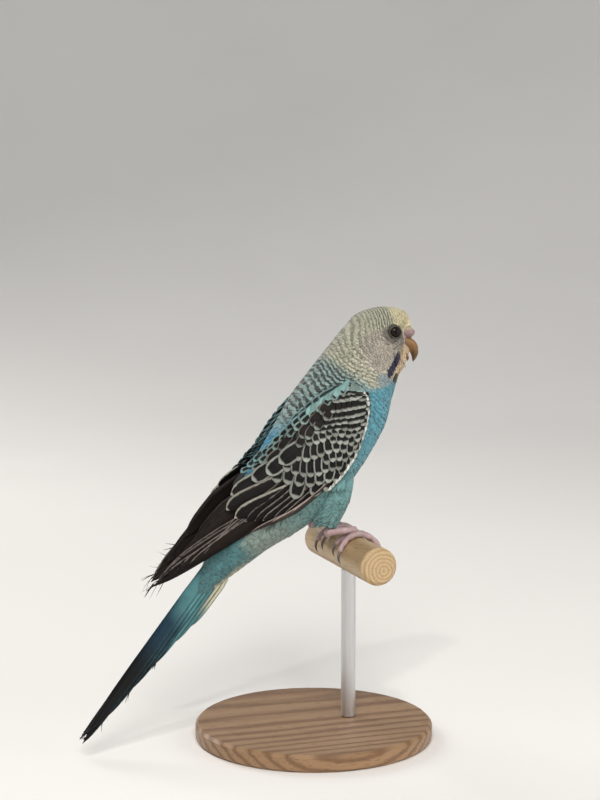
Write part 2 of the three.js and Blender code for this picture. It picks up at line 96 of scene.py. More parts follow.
class Wire:
    """One socket of a material's nodes. Arithmetic on it adds Math nodes, and node() adds any other node."""

    def __init__(self, tree, socket=None):
        self.tree, self.socket = tree, socket

    def node(self, kind, settings=None, sockets=None, out=0):
        """A new node of that kind: its settings are set first, then its sockets get their values or links."""
        made = self.tree.nodes.new(kind)
        for name, value in (settings or {}).items():
            if name == "stops":
                for _ in value[2:]:
                    made.color_ramp.elements.new(0.5)
                for element, (at, colour) in zip(made.color_ramp.elements, value):
                    element.position, element.color = at, (*colour, 1.0)
            else:
                setattr(made, name, value)
        for name, value in (sockets or {}).items():
            if isinstance(value, Wire):
                self.tree.links.new(value.socket, made.inputs[name])
            elif value is not None:
                made.inputs[name].default_value = value
        return Wire(self.tree, made.outputs[out] if made.outputs else None)

    def other(self, out):
        """Another output of the node that this wire leaves."""
        return Wire(self.tree, self.socket.node.outputs[out])

    def place(self):
        """The place on the piece, in metres."""
        return self.node("ShaderNodeTexCoord", None, None, 3)

    def colour(self, name):
        """A colour that the mesh stores at its points."""
        return self.node("ShaderNodeAttribute", {"attribute_name": name})

    def stored(self, name):
        """The first part of a vector that the mesh stores at its points; other(1) and other(2) are the rest.
        """
        vector = self.node("ShaderNodeAttribute", {"attribute_name": name}, None, 1)
        return self.node("ShaderNodeSeparateXYZ", None, {0: vector})

    def sum(self, operation, first, second=None):
        """A Math node on two numbers or wires."""
        return self.node("ShaderNodeMath", {"operation": operation}, {0: first, 1: second})

    def __add__(self, other):
        return self.sum("ADD", self, other)

    def __sub__(self, other):
        return self.sum("SUBTRACT", self, other)

    def __rsub__(self, other):
        return self.sum("SUBTRACT", other, self)

    def __mul__(self, other):
        return self.sum("MULTIPLY", self, other)

    __radd__, __rmul__ = __add__, __mul__

    def wave(self):
        """The sine of this wire, which counts in whole turns."""
        return self.sum("SINE", self * (2 * math.pi))

    def between(self, low, high):
        """0 below low and 1 above high, with an eased rise."""
        return self.node(
            "ShaderNodeMapRange", {"interpolation_type": "SMOOTHSTEP"},
            {"Value": self, "From Min": low, "From Max": high}
        )

    def blend(self, first, second):
        """The colour first where this mask is 0, and second where it is 1."""
        return self.node("ShaderNodeMix", {"data_type": "RGBA"}, {0: self, 6: first, 7: second}, 2)

    def times(self, tint):
        """This colour multiplied by another."""
        settings = {"data_type": "RGBA", "blend_type": "MULTIPLY"}
        return self.node("ShaderNodeMix", settings, {0: 1.0, 6: self, 7: tint}, 2)

    def noise(self, place, scale, detail=2.0):
        """Cloudy noise from 0 to 1, with so many clouds to the metre."""
        return self.node("ShaderNodeTexNoise", None, {"Vector": place, "Scale": scale, "Detail": detail})


def finish(name, build, bump=(0.3, 0.0002), **fixed):
    """A material. build gets the first wire and returns the sockets that vary, with a height for the bump;
    fixed holds what is the same all over."""
    material = bpy.data.materials.new(name)
    material.use_nodes = True
    material.node_tree.nodes.clear()
    wire = Wire(material.node_tree)
    sockets = {key.replace("_", " "): value for key, value in fixed.items()}
    sockets.update(build(wire))
    height = sockets.pop("height", None)
    if height is not None:
        sockets["Normal"] = wire.node(
            "ShaderNodeBump", None, {"Strength": bump[0], "Distance": bump[1], "Height": height}
        )
    wire.node(
        "ShaderNodeOutputMaterial", None, {"Surface": wire.node("ShaderNodeBsdfPrincipled", None, sockets)}
    )
    return material


def stood(across, up, behind, place):
    """The matrix of a camera or lamp from its three axes and its place in metres."""
    return Matrix([[*row, at] for row, at in zip(np.stack([across, up, behind], 1), place)] + [[0, 0, 0, 1]])


# Lens and film in millimetres, the millimetres that a pixel of the 600 by 800 picture spans at the bird, and
# the pixel that shows where the body frame starts.
lens, film, pixel = 70.0, 36.0, 0.352
picture_width, picture_height = 600, 800
start_right, start_down = 330, 470
turn, dip = math.radians(-18), math.radians(5)
distance = picture_height * pixel * lens / film
towards = np.array([math.sin(turn) * math.cos(dip), -math.cos(turn) * math.cos(dip), math.sin(dip)])
rightwards = np.array([math.cos(turn), math.sin(turn), 0.0])
upwards = np.cross(towards, rightwards)
aim = (
    BODY_ORIGIN
    - rightwards * (start_right - picture_width // 2) * pixel
    + upwards * (start_down - picture_height // 2) * pixel
)
camera_data = bpy.data.cameras.new("camera")
camera_data.lens, camera_data.sensor_fit, camera_data.sensor_height = lens, "VERTICAL", film
camera_data.clip_start = 0.01
camera = bpy.data.objects.new("camera", camera_data)
bpy.context.scene.collection.objects.link(camera)
camera.matrix_world = stood(rightwards, upwards, towards, (aim + towards * distance) * MM)
bpy.context.scene.camera = camera
bpy.context.scene.view_settings.view_transform = "Standard"


FLAT_REACH, COVE_RADIUS, COVE_REACH, FLOOR_SIDES = 900.0, 1500.0, 1490.0, 96


def cove(radius, turned):
    """Flat as far as its reach, then a quarter circle of radius R: the height is R - sqrt(R*R - d*d), d the
    way past the flat."""
    past = np.clip(radius - FLAT_REACH, 0.0, COVE_REACH)
    height = COVE_RADIUS - np.sqrt(COVE_RADIUS**2 - past**2)
    return three(radius * np.cos(turned), radius * np.sin(turned), height)


def paper_nodes(wire):
    """Warm white, with a faint broad mottle."""
    mottle = wire.noise(wire.place(), 3.0).between(0.3, 0.7)
    return {"Base Color": mottle.blend((0.86, 0.845, 0.82, 1), (0.885, 0.87, 0.845, 1))}


rings = np.concatenate([[1.0, 60.0, 200.0, 500.0], np.linspace(FLAT_REACH, FLAT_REACH + COVE_REACH, 24)])
floor = mesh_of(
    "floor",
    cove(rings[:, None], around(FLOOR_SIDES)[None, :]),
    [net(len(rings), FLOOR_SIDES)[:, ::-1], np.arange(FLOOR_SIDES)[None, :]],
)
floor.data.materials.append(finish("pale paper", paper_nodes, Roughness=0.9))

world = bpy.data.worlds.new("soft room")
bpy.context.scene.world = world
world.use_nodes = True
world.node_tree.nodes["Background"].inputs[0].default_value = (0.95, 0.97, 1.0, 1)
world.node_tree.nodes["Background"].inputs[1].default_value = 0.34
for name, place, size, power in [
    ("key", (-0.25, -1.0, 0.95), 0.55, 10.5),
    ("fill", (0.95, -0.75, 0.5), 0.8, 4.8),
    ("back", (-0.5, 0.9, 0.8), 0.7, 6.2),
    ("catch light", (-0.38, -0.71, 1.02), 0.05, 2.0),
]:
    lamp_data = bpy.data.lights.new(name, "AREA")
    lamp_data.size, lamp_data.energy, lamp_data.color = size, power, (1.0, 0.97, 0.93)
    lamp = bpy.data.objects.new(name, lamp_data)
    bpy.context.scene.collection.objects.link(lamp)
    outward = np.array(place) - BODY_ORIGIN * MM
    outward = outward / np.linalg.norm(outward)
    level = np.cross([0, 0, 1.0], outward)
    level = level / np.linalg.norm(level)
    lamp.matrix_world = stood(level, np.cross(outward, level), outward, place)

# Skin: one closed surface from the crown to the root of the tail, with the thighs grown into it.
# It lies under the coat by the coat's depth, and carries the same markings, which show where feathers part.
#
# Stations up the spine: along, the height of the trunk's centre, its half depth and its half width.
STATIONS = np.array([
    [-66, 10.8, 1.6, 2.2],
    [-56, 10.7, 4.2, 4.8],
    [-46, 10.7, 7, 7.6],
    [-36, 10.5, 9.8, 10.2],
    [-24, 9.2, 13.4, 12.9],
    [-12, 8.3, 16.2, 14.4],
    [0, 9, 17.4, 15],
    [12, 10.3, 18, 15.3],
    [24, 11.5, 17, 15],
    [34, 13.7, 14.8, 12.6],
    [41, 15, 13.4, 10.9],
    [47, 15.2, 12.9, 10.2],
])
DOME_START, DOME_LENGTH, DOME_CENTRE = 47.0, 13.4, 14.2
CROWN = DOME_START + DOME_LENGTH * math.pi / 2
BILL_ALONG = 54.0


def smooth(value, low, high):
    """Rises from 0 at low to 1 at high: t*t*(3 - 2t), where t is the share of the way, held in 0 to 1."""
    t = np.clip((value - low) / (high - low), 0.0, 1.0)
    return t * t * (3.0 - 2.0 * t)


def mix(first, second, share):
    """First where the share is 0, second where it is 1, and in a straight line between."""
    return first + (second - first) * share


def unit(vectors):
    """The same directions, each of length 1."""
    return vectors / np.maximum(np.linalg.norm(vectors, axis=-1, keepdims=True), 1e-9)


def read_stations(table, at):
    """A smooth cubic through the table's rows: each span leaves and arrives with the slope between its
    neighbours."""
    at = np.asarray(at, float)
    last = len(table) - 1
    k = np.clip(np.searchsorted(table[:, 0], at), 1, last)
    before, start = table[np.maximum(k - 2, 0)], table[k - 1]
    end, after = table[k], table[np.minimum(k + 1, last)]
    span = (end - start)[..., :1]
    u = np.clip((at[..., None] - start[..., :1]) / span, 0, 1)
    leave = (end - before)[..., 1:] / (end - before)[..., :1] * span
    arrive = (after - start)[..., 1:] / (after - start)[..., :1] * span
    rise = (end - start)[..., 1:]
    bent = 3 * rise - 2 * leave - arrive + u * (leave + arrive - 2 * rise)
    return start[..., 1:] + u * (leave + u * bent)


def body_point(along, height, side=0.0):
    """A place of the body frame in the part's frame."""
    along, height, side = np.broadcast_arrays(along, height, side)
    return BODY_ORIGIN + along[..., None] * SPINE + height[..., None] * BACK + side[..., None] * SIDE


def in_body(points):
    """The along, height and side of points in the part's frame."""
    moved = points - BODY_ORIGIN
    return moved @ SPINE, moved @ BACK, moved @ SIDE


def trunk_section(along):
    """Centre height, half depth and half width: the stations' cubic, then a dome that closes as powers of the
    share of its length."""
    centre, depth, width = np.moveaxis(read_stations(STATIONS, np.minimum(along, DOME_START)), -1, 0)
    x = np.clip((along - DOME_START) / DOME_LENGTH, 0, 1)
    return mix(centre, DOME_CENTRE, x), depth * (1 - x**1.5) ** 0.6, width * (1 - x**1.9) ** 0.55


face_centre, face_depth, _ = trunk_section(np.array(BILL_ALONG))
FACE = body_point(BILL_ALONG, face_centre - face_depth)


def drawn_in(points):
    """The face narrows to the bill: a place less than 9 mm from the line down the front of cere and bill,
    seen from the side, comes in by up to 0.55 of its side; up and down count 1.25 times."""
    forward, up = points[..., 0] - FACE[0], points[..., 2] - FACE[2]
    away = np.hypot(forward + 0.6, 1.25 * (up - np.clip(up, -4.0, 4.2)))
    share = 1 - 0.55 * (1 - smooth(away, 2.8, 9.0))
    return points * np.stack([np.ones_like(share), share, np.ones_like(share)], -1)


def trunk_point(travel, turned):
    """Ellipses across the spine. travel is the way up the spine, which turns into an angle over the crown;
    turned goes round from the left flank over the back."""
    over = np.clip((travel - DOME_START) / DOME_LENGTH, 0, math.pi / 2)
    along = np.where(travel > DOME_START, DOME_START + DOME_LENGTH * np.sin(over), travel)
    centre, depth, width = trunk_section(along)
    return drawn_in(body_point(along, centre + depth * np.sin(turned), width * np.cos(turned)))


def surface_frame(surface, u, v, du, dv):
    """The point, both tangents, the outward normal and the second differences of a surface, by central
    differences."""
    middle = surface(u, v)
    up, down = surface(u + du, v), surface(u - du, v)
    left, right = surface(u, v + dv), surface(u, v - dv)
    tu, tv = (up - down) / (2 * du), (left - right) / (2 * dv)
    normal = unit(np.cross(tv, tu))
    uu, vv = (up - 2 * middle + down) / du**2, (left - 2 * middle + right) / dv**2
    uv = surface(u + du, v + dv) - surface(u + du, v - dv) - surface(u - du, v + dv) + surface(u - du, v - dv)
    uv = uv / (4 * du * dv)
    return middle, tu, tv, normal, (uu, uv, vv)


def coat_depth(along):
    """How far the skin lies under the coat: thin on the face, deepest on the breast and back."""
    return np.interp(along, [-66, -56, -40, -20, 20, 32, 42, 60], [0.2, 0.5, 0.9, 1.3, 1.3, 1.0, 0.6, 0.45])


HIP, HEEL = body_point(3.0, 3.5, -7.0), np.array([2.0, -9.0, 75.5])
KNEE = HIP + (HEEL - HIP) * 0.5 + np.array([3.0, -1.0, 0.0])
THIGH_TOP, THIGH_END = 8.2, 2.2


def thigh_size(t):
    """Half width along the thigh: it falls from top to heel as t to the power 1.3, rounded off at both ends.
    """
    return (
        mix(THIGH_TOP, THIGH_END, t**1.3) * np.minimum(1, (1 - t) * 12 + 0.45)
        * np.sqrt(np.minimum(1, t * 4 + 0.05))
    )


def thigh_point(t, turned, under=0.0):
    """An ellipse carried along a quadratic curve from hip through knee to heel, a tenth narrower across the
    bird."""
    outer = np.multiply.outer
    line = outer((1 - t) ** 2, HIP) + outer(2 * t * (1 - t), KNEE) + outer(t**2, HEEL)
    run = unit(outer(2 * (1 - t), KNEE - HIP) + outer(2 * t, HEEL - KNEE))
    fore = np.cross(run, SIDE)
    size = np.maximum(thigh_size(t) - under, 0.2)
    return line + (size * 0.9 * np.cos(turned))[..., None] * SIDE + (size * np.sin(turned))[..., None] * fore


def mirrored(points):
    """The same places or directions on the other side of the bird."""
    return points * np.array([1.0, -1.0, 1.0])


CERE_TOP = (56.0, 7.0)


def travelled(points):
    """How far a feather's place is from the bill: the straight distance on the head, then the way down the
    spine, a little more on the flanks' upper side."""
    along, height, side = in_body(points)
    near = np.sqrt((along - CERE_TOP[0]) ** 2 + (height - CERE_TOP[1]) ** 2 + side**2)
    down = 61.0 - along - 0.4 * (height - 12.0) * np.clip((side / 12.0) ** 2, 0, 1)
    return mix(near, down, 1 - smooth(along, 30, 46))


# How many dark bars lie between the bill and each place on the way back from it, a tenth of a millimetre
# apart.
WAY = np.linspace(0, 240, 2401)
BAR_SPACING = np.interp(WAY, [0, 18, 24, 33, 41], [0.72, 0.74, 1.15, 1.5, 2.7])
BARS_PASSED = np.cumsum(0.1 / BAR_SPACING)


BREAST_BLUE, BELLY_TEAL, VENT_GREY = (0.105, 0.33, 0.42), (0.15, 0.31, 0.31), (0.24, 0.31, 0.275)
RUMP_TEAL, RUMP_BLUE, MANTLE_GREY = (0.075, 0.22, 0.26), (0.028, 0.285, 0.475), (0.29, 0.41, 0.39)
TAIL_TEAL, VENT_CREAM, HEAD_CREAM = (0.075, 0.20, 0.215), (0.46, 0.45, 0.34), (0.50, 0.49, 0.375)
COLLAR_LILAC, CHEEK_GREY, CHEEK_CREAM = (0.17, 0.25, 0.32), (0.40, 0.36, 0.305), (0.60, 0.55, 0.46)
# The last colour on the next line is painted shade, laid on the coat round the eye.
CHIN_BUFF, BROW_YELLOW, PAINTED_EYE_SHADE = (0.64, 0.50, 0.32), (0.72, 0.645, 0.41), (0.13, 0.115, 0.095)
CHEEK_VIOLET, THROAT_BROWN = (0.010, 0.006, 0.045), (0.035, 0.02, 0.012)
HEAD_BAR, MANTLE_BAR = (0.10, 0.105, 0.085), (0.028, 0.032, 0.034)
# The violet patch runs between two places, and the throat's spots lie so far aside and at such heights.
PATCH_START, PATCH_END = np.array([25.0, 129.4]), np.array([28.5, 134.8])
THROAT_SPOTS = ((2.2, 126.0), (7.0, 127.2))


def oval(first, second, middle, radii):
    """0 at an oval's middle and 1 on its edge: the sum of both squared shares of its radii."""
    return ((first - middle[0]) / radii[0]) ** 2 + ((second - middle[1]) / radii[1]) ** 2


def plumage(points):
    """Ground colour, colour of the bars, how strong they are and how many have been passed, at places of the
    coat. Each marking, and the painted shade round the eye, is an oval or a soft step in the place."""
    x, side, z = np.moveaxis(points, -1, 0)
    along, height, _ = in_body(points)
    centre, depth, width = trunk_section(along)
    up = (height - centre) / np.maximum(depth, 1.0)

    def lay(ground, colour, mask):
        return ground + (np.array(colour) - ground) * mask[..., None]

    ground = np.broadcast_to(np.array(BREAST_BLUE), points.shape)
    ground = lay(ground, BELLY_TEAL, 1 - smooth(along, -8, 18))
    ground = lay(ground, VENT_GREY, 1 - smooth(along, -34, -14))
    above, spine = smooth(up, 0.1, 0.42), smooth(up, 0.5, 0.78) * smooth(along, -36, -26)
    mantle = above * smooth(along, -6, 8)
    ground = lay(ground, RUMP_TEAL, above * (1 - smooth(along, -30, -14)))
    ground = lay(ground, RUMP_BLUE, spine * (1 - smooth(along, -6, 6)))
    ground = lay(ground, MANTLE_GREY, mantle)
    ground = lay(ground, TAIL_TEAL, 1 - smooth(along, -44, -37))
    ground = lay(ground, VENT_CREAM, (1 - smooth(up, -0.75, -0.5)) * (1 - smooth(along, -48, -40)))

    head = smooth(z + 0.10 * np.abs(side) - 0.16 * (x - 20), 124.6, 127.4) * smooth(along, 26, 31)
    head = np.maximum(head, smooth(along, 31, 36) * smooth(up, -0.3, 0.2))
    ground = lay(ground, HEAD_CREAM, head)
    lilac = 1 - smooth(oval(x, z, (23.0, 127.3), (5.0, 2.4)), 0.1, 1.4)
    ground = lay(ground, COLLAR_LILAC, lilac * smooth(along, 22, 28) * 0.75)
    off_cheek = oval(x, z, (21.8, 137.2), (8.2, 7.6))
    lore = smooth(x, 27.5, 30) * smooth(z, 128, 131)
    bare = np.maximum(1 - smooth(off_cheek, 0.78, 1.15), lore)
    ground = lay(ground, CHEEK_GREY, bare * head)
    cheek_edge = np.exp(-(((off_cheek - 0.98) / 0.2) ** 2)) * (1 - smooth(z, 135, 139))
    ground = lay(ground, CHEEK_CREAM, cheek_edge * head * 0.8)
    chin = smooth(x + 0.5 * (136 - z), 27.8, 30) * smooth(z, 126.5, 128.5) * (1 - smooth(z, 137.5, 140))
    ground = lay(ground, CHIN_BUFF, chin)
    cap = smooth(x, 25.4, 27.6) * smooth(z, 141.5, 144.5)
    ground = lay(ground, BROW_YELLOW, cap)
    # Painted shade: the coat behind and below the eye is darkened to stand in for the shade of the eye's hollow.
    painted_eye_shade = 1 - smooth(oval(x, z, (25.5, 142.9), (3.8, 3.6)), 0.62, 1.2)
    ground = lay(ground, PAINTED_EYE_SHADE, painted_eye_shade * (1 - smooth(z, 146.0, 147.6)) * 0.85)

    reach = PATCH_END - PATCH_START
    share = ((x - PATCH_START[0]) * reach[0] + (z - PATCH_START[1]) * reach[1]) / np.sum(reach**2)
    middle = mix(PATCH_START, PATCH_END, np.clip(share, 0, 1)[..., None])
    away = np.hypot(x - middle[..., 0], z - middle[..., 1])
    ground = lay(ground, CHEEK_VIOLET, (1 - smooth(away, 1.2, 1.95)) * smooth(np.abs(side), 2.6, 3.6))
    for aside, low in THROAT_SPOTS:
        spot = 1 - smooth(oval(np.abs(side), z, (aside, low), (1.7, 2.0)), 0.7, 1.2)
        ground = lay(ground, THROAT_BROWN, spot * smooth(x, 23, 25))

    bars = lay(np.broadcast_to(np.array(HEAD_BAR), points.shape), MANTLE_BAR, mantle * (1 - head))
    brow = 1 - smooth(np.hypot(x - 24.5, z - 147.5), 3.0, 8.0)
    on_head = head * (1 - cap) * (1 - bare) * (1 - chin) * (1 - lilac) * mix(0.56, 0.85, brow)
    strength = np.maximum(on_head, mantle * mix(0.9, 0.45, head))
    return ground, bars, strength, np.interp(travelled(points), WAY, BARS_PASSED)


def give(piece, **values):
    """Stores named values at a mesh's points: three columns as a colour or a vector."""
    for name, value in values.items():
        kind, field = ("FLOAT_COLOR", "color") if name in ("ground", "mark") else ("FLOAT_VECTOR", "vector")
        data = np.concatenate([value, np.ones((len(value), 1))], 1) if kind == "FLOAT_COLOR" else value
        piece.data.attributes.new(name, kind, "POINT").data.foreach_set(
            field, data.astype(np.float32).ravel()
        )


MAP_WIDTH = 0.94


def bake_map(piece, places):
    """The map that the finish is baked to, from one place for each point; a face that runs over the map's
    seam is laid past its edge."""
    corners = np.empty(len(piece.data.loops), np.int32)
    piece.data.loops.foreach_get("vertex_index", corners)
    starts = np.empty(len(piece.data.polygons), np.int32)
    piece.data.polygons.foreach_get("loop_start", starts)
    uv = places[corners]
    face = np.repeat(np.arange(len(starts)), np.diff(np.append(starts, len(corners))))
    high = np.maximum.reduceat(uv[:, 0], starts)[face]
    uv[:, 0] = np.where(high - uv[:, 0] > 0.5, uv[:, 0] + MAP_WIDTH, uv[:, 0])
    piece.data.uv_layers.new(name="OFBake").data.foreach_set("uv", uv.astype(np.float32).ravel())


def unwrapped(points):
    """The skin cut along the belly and laid flat: across by the turn round the spine, up by the way along it.
    """
    along, height, side = in_body(points)
    centre, depth, width = trunk_section(along)
    turned = np.arctan2(side, (height - centre) + 1e-6) / (2 * math.pi) + 0.5
    return np.stack([0.01 + MAP_WIDTH * turned, 0.02 + 0.95 * (along + 70) / 132], -1)


def plumage_nodes(wire):
    """Ground colour with wavering dark bars, wider where they are stronger, fine barbs that slant back from
    each shaft, and a paler or darker cast from feather to feather."""
    ground, mark = wire.colour("ground"), wire.colour("mark")
    bars = wire.stored("bars")
    barb = wire.stored("barb")
    place = wire.place()
    turn = bars + wire.noise(place, 620, 1.5) * 0.7 + bars.other(2) * 0.14 + barb * barb * 0.12
    stripe = (turn.wave() + bars.other(1) * 0.7).between(0.25, 0.95) * bars.other(1)
    slant = (barb.other(1) - barb.sum("ABSOLUTE", barb) * 0.9) * 3.1
    strand = (slant + wire.noise(place, 2600, 1.0) * 0.7).wave() * 0.5 + 0.5
    shade = (strand * 0.30 + wire.noise(place, 3800, 2.0) * 0.5 + bars.other(2) * 0.5).between(0.12, 0.95)
    tint = shade.blend((0.73, 0.73, 0.73, 1), (0.86, 0.86, 0.85, 1))
    return {
        "Base Color": stripe.blend(ground, mark).times(tint),
        "Roughness": 0.62 + strand * 0.14,
        "height": strand,
    }


plume = finish(
    "body feathers",
    plumage_nodes,
    bump=(0.12, 0.00005),
    Sheen_Weight=0.25,
    Sheen_Roughness=0.4,
    Specular_IOR_Level=0.3,
)


def grid(rows, columns):
    """Two arrays over a grid: the row's value and the column's value at each of its points."""
    return np.meshgrid(rows, columns, indexing="ij")


def closed_ends(rows, columns):
    """The faces of rings in a row, with one more face over the first ring and one over the last."""
    ring = np.arange(columns)[None, :]
    return [net(rows, columns), ring[:, ::-1], ring + (rows - 1) * columns]


def turned_over(faces):
    """The same faces, looking the other way."""
    return [part[:, ::-1] for part in faces]


TRUNK_SIDES, THIGH_ROWS, THIGH_SIDES, FUSING_GRAIN = 96, 24, 40, 0.55
travels = np.concatenate([
    np.linspace(-66, DOME_START, 150, endpoint=False),
    np.linspace(DOME_START, CROWN - 0.3, 40),
])
travel, turned = grid(travels, around(TRUNK_SIDES))
shell, _, _, outwards, _ = surface_frame(trunk_point, travel, turned, 0.2, 0.02)
trunk_flesh = (shell - outwards * coat_depth(travel)[..., None]).reshape(-1, 3)
limb = thigh_point(*grid(np.linspace(0.0, 1.0, THIGH_ROWS), around(THIGH_SIDES)), 0.9).reshape(-1, 3)
limb_faces = closed_ends(THIGH_ROWS, THIGH_SIDES)
rough = mesh_of(
    "rough_skin",
    np.concatenate([trunk_flesh, limb, mirrored(limb)]),
    closed_ends(len(travels), TRUNK_SIDES)
    + [part + len(trunk_flesh) for part in limb_faces]
    + [part + len(trunk_flesh) + len(limb) for part in turned_over(limb_faces)],
)
remesh = rough.modifiers.new("fuse", "REMESH")
remesh.mode, remesh.voxel_size, remesh.use_smooth_shade = "VOXEL", FUSING_GRAIN * MM, True
fused = rough.evaluated_get(bpy.context.evaluated_depsgraph_get())
skin = bpy.data.objects.new("skin", bpy.data.meshes.new_from_object(fused))
bpy.context.scene.collection.objects.link(skin)
bpy.data.objects.remove(rough)
skin.data.polygons.foreach_set("use_smooth", np.ones(len(skin.data.polygons), bool))
places = np.empty(len(skin.data.vertices) * 3, np.float32)
skin.data.vertices.foreach_get("co", places)
places = places.reshape(-1, 3) / MM
ground, bars, strength, passed = plumage(places)
give(skin, ground=ground * 0.8, mark=bars, bars=three(passed, strength, 0.0), barb=places * 0)
bake_map(skin, unwrapped(places))
skin.data.materials.clear()
skin.data.materials.append(plume)
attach(skin, "root")
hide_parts("head", "neck", "torso", "rump", "thigh_right", "thigh_left")

# Body feathers: small soft vanes rooted in the skin, row upon row, each row lying over the roots of the
# next. They run back from the bill over the crown and cheeks and down the body, and are smallest on the face.
#
# A small feather is a flat tube: five points round its section, aside and up, at six steps along it, each
# with
# its share of the full width.
FEATHER_STEPS = np.array([0.0, 0.28, 0.55, 0.78, 0.93, 1.0])
FEATHER_SHARES = np.array([0.35, 0.8, 1.0, 0.94, 0.66, 0.28])
RIM = np.array([[-1.0, 0.0], [-0.5, 1.0], [0.5, 1.0], [1.0, 0.0], [0.0, -1.0]])
FEATHER_THICKNESS, BEND_LIMITS = 0.022, (-0.32, 0.35)


def feather_spacing(along):
    """Millimetres from feather to feather: closest on the face, widest on the rump."""
    return np.interp(along, [-66, -40, -20, 24, 32, 40, 48, 60], [1.3, 1.7, 1.65, 1.45, 1.1, 0.8, 0.66, 0.62])


def row_seeds(surface, low, high, spacing_at, turns_round, rng):
    """Rows along u, a spacing apart, and in each row as many places as its length holds, every second row
    shifted by half a place."""
    u = np.linspace(low, high, 4000)
    passed = np.cumsum((u[1] - u[0]) / spacing_at(u))
    rows = np.interp(np.arange(0.0, passed[-1]), passed, u)
    v = np.linspace(*turns_round, 73)
    girth = np.linalg.norm(np.diff(surface(rows[:, None], v[None, :]), axis=1), axis=-1).sum(1)
    count = np.maximum((girth / spacing_at(rows)).astype(int), 3)
    row = np.repeat(np.arange(len(rows)), count)
    place = np.arange(len(row)) - np.repeat(np.cumsum(count) - count, count)
    across = (place + 0.5 * (row % 2) + rng.uniform(-0.22, 0.22, len(row))) / count[row]
    jitter = spacing_at(rows[row]) * rng.uniform(-0.2, 0.2, len(row))
    return rows[row] + jitter, mix(*turns_round, across)


def repeated(faces, count, points_each):
    """The faces of one shape, for count shapes whose points follow one another."""
    starts = (np.arange(count) * points_each)[:, None, None]
    return [(starts + part[None]).reshape(-1, part.shape[1]) for part in faces]


def small_feathers(name, root, tangents, outward, second, run, length, width, low, high, rng, ragged=0.06):
    """A mesh of closed thin feathers on a curved surface. At a way x back from the root and y across, a
    feather lies at root + x*run + y*across + (half the surface's second change along x and y + its own rise
    from low to high)*outward."""
    tu, tv = tangents
    e, f, g = np.sum(tu * tu, -1), np.sum(tu * tv, -1), np.sum(tv * tv, -1)

    def in_tangents(way):
        p, q = np.sum(way * tu, -1), np.sum(way * tv, -1)
        under = e * g - f * f
        return (g * p - f * q) / under, (e * q - f * p) / under

    across = np.cross(outward, run)
    a1, b1 = in_tangents(run)
    a2, b2 = in_tangents(across)
    uu, uv, vv = (np.sum(part * outward, -1) for part in second)

    def bent(first, second):
        (p, q), (r, s) = first, second
        return np.clip(uu * p * r + uv * (p * s + q * r) + vv * q * s, *BEND_LIMITS)[:, None, None]

    back_bend, twist, cross_bend = (
        bent((a1, b1), (a1, b1)), bent((a1, b1), (a2, b2)), bent((a2, b2), (a2, b2))
    )
    n, rows, columns = len(root), len(FEATHER_STEPS), len(RIM)
    steps, shares = FEATHER_STEPS[None, :, None], FEATHER_SHARES[None, :, None]
    aside, lift = RIM[None, None, :, 0], RIM[None, None, :, 1]
    ends = smooth(FEATHER_STEPS, 0.7, 1.0)[None, :, None]
    length, width = length[:, None, None], width[:, None, None]
    low, climb = low[:, None, None], (high - low)[:, None, None]
    x = length * (steps + ends * rng.uniform(-ragged, ragged, (n, 1, columns)) - 0.10 * ends * aside**2)
    y = 0.5 * width * shares * aside
    rise = low + climb * steps**0.6 - 0.19 * climb * ends
    arch = -0.04 * width * aside**2 * shares + FEATHER_THICKNESS * lift
    z = rise + arch + 0.5 * (back_bend * x * x + 2 * twist * x * y + cross_bend * y * y)
    points = root[:, None, None] + sum(
        part[..., None] * way[:, None, None] for part, way in ((x, run), (y, across), (z, outward))
    )
    faces = repeated(turned_over(closed_ends(rows, columns)), n, rows * columns)
    piece = mesh_of(name, points.reshape(-1, 3), faces)
    return piece, points, np.broadcast_to(x, points.shape[:3]), np.broadcast_to(y, points.shape[:3])


PATCH_SIZE = 0.003


def dress(piece, points, x, y, root, run, length, rng, shade=0.06):
    """Gives each feather the colour of the place its tip shows at, the bars along its own length, and a patch
    of the bake map at its root."""
    n = len(root)
    shown = root + run * (0.75 * length)[:, None]
    ground, mark, strength, _ = plumage(shown)
    passed = plumage(points)[3]
    cast = rng.uniform(-1, 1, n)
    ground = np.clip(ground * (1 + shade * cast[:, None]), 0, 1)

    def spread(value):
        return np.repeat(value, points.shape[1] * points.shape[2], axis=0)

    bars = three(passed.reshape(-1), spread(strength), spread(cast))
    give(piece, ground=spread(ground), mark=spread(mark), bars=bars, barb=three(y, x, 0.0))
    widest = np.maximum(np.abs(y).max((1, 2), keepdims=True), 1e-6)
    patch = np.stack([y / widest * (PATCH_SIZE / 2), (x / length[:, None, None] - 0.5) * PATCH_SIZE], -1)
    bake_map(piece, (unwrapped(root)[:, None, None] + patch).reshape(-1, 2))
    piece.data.materials.append(plume)
    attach(piece, "root")


def way_back(points, outward):
    """The lie of the coat: the direction in which the way from the bill grows fastest, laid along the
    surface."""
    steps = 0.2 * np.eye(3)
    slope = np.stack([travelled(points + step) - travelled(points - step) for step in steps], -1)
    return unit(slope - np.sum(slope * outward, -1, keepdims=True) * outward)


EYE_ALONG, EYE_HEIGHT, EYE_SINK, BARE_RING = 50.6, 15.4, 1.95, 2.25


def eye_place(sign):
    """The middle of an eye, sunk into the side of the head."""
    return body_point(EYE_ALONG, EYE_HEIGHT, sign * (trunk_section(np.array(EYE_ALONG))[2] - EYE_SINK))


def face_point(forward, up, side=0.0):
    """A place forward and up from where the bill leaves the face."""
    return FACE + np.array([forward, side, up])


def outside(points, middle, radii):
    """Whether points lie outside an ellipsoid."""
    return np.linalg.norm((points - middle) / np.array(radii), axis=-1) > 1


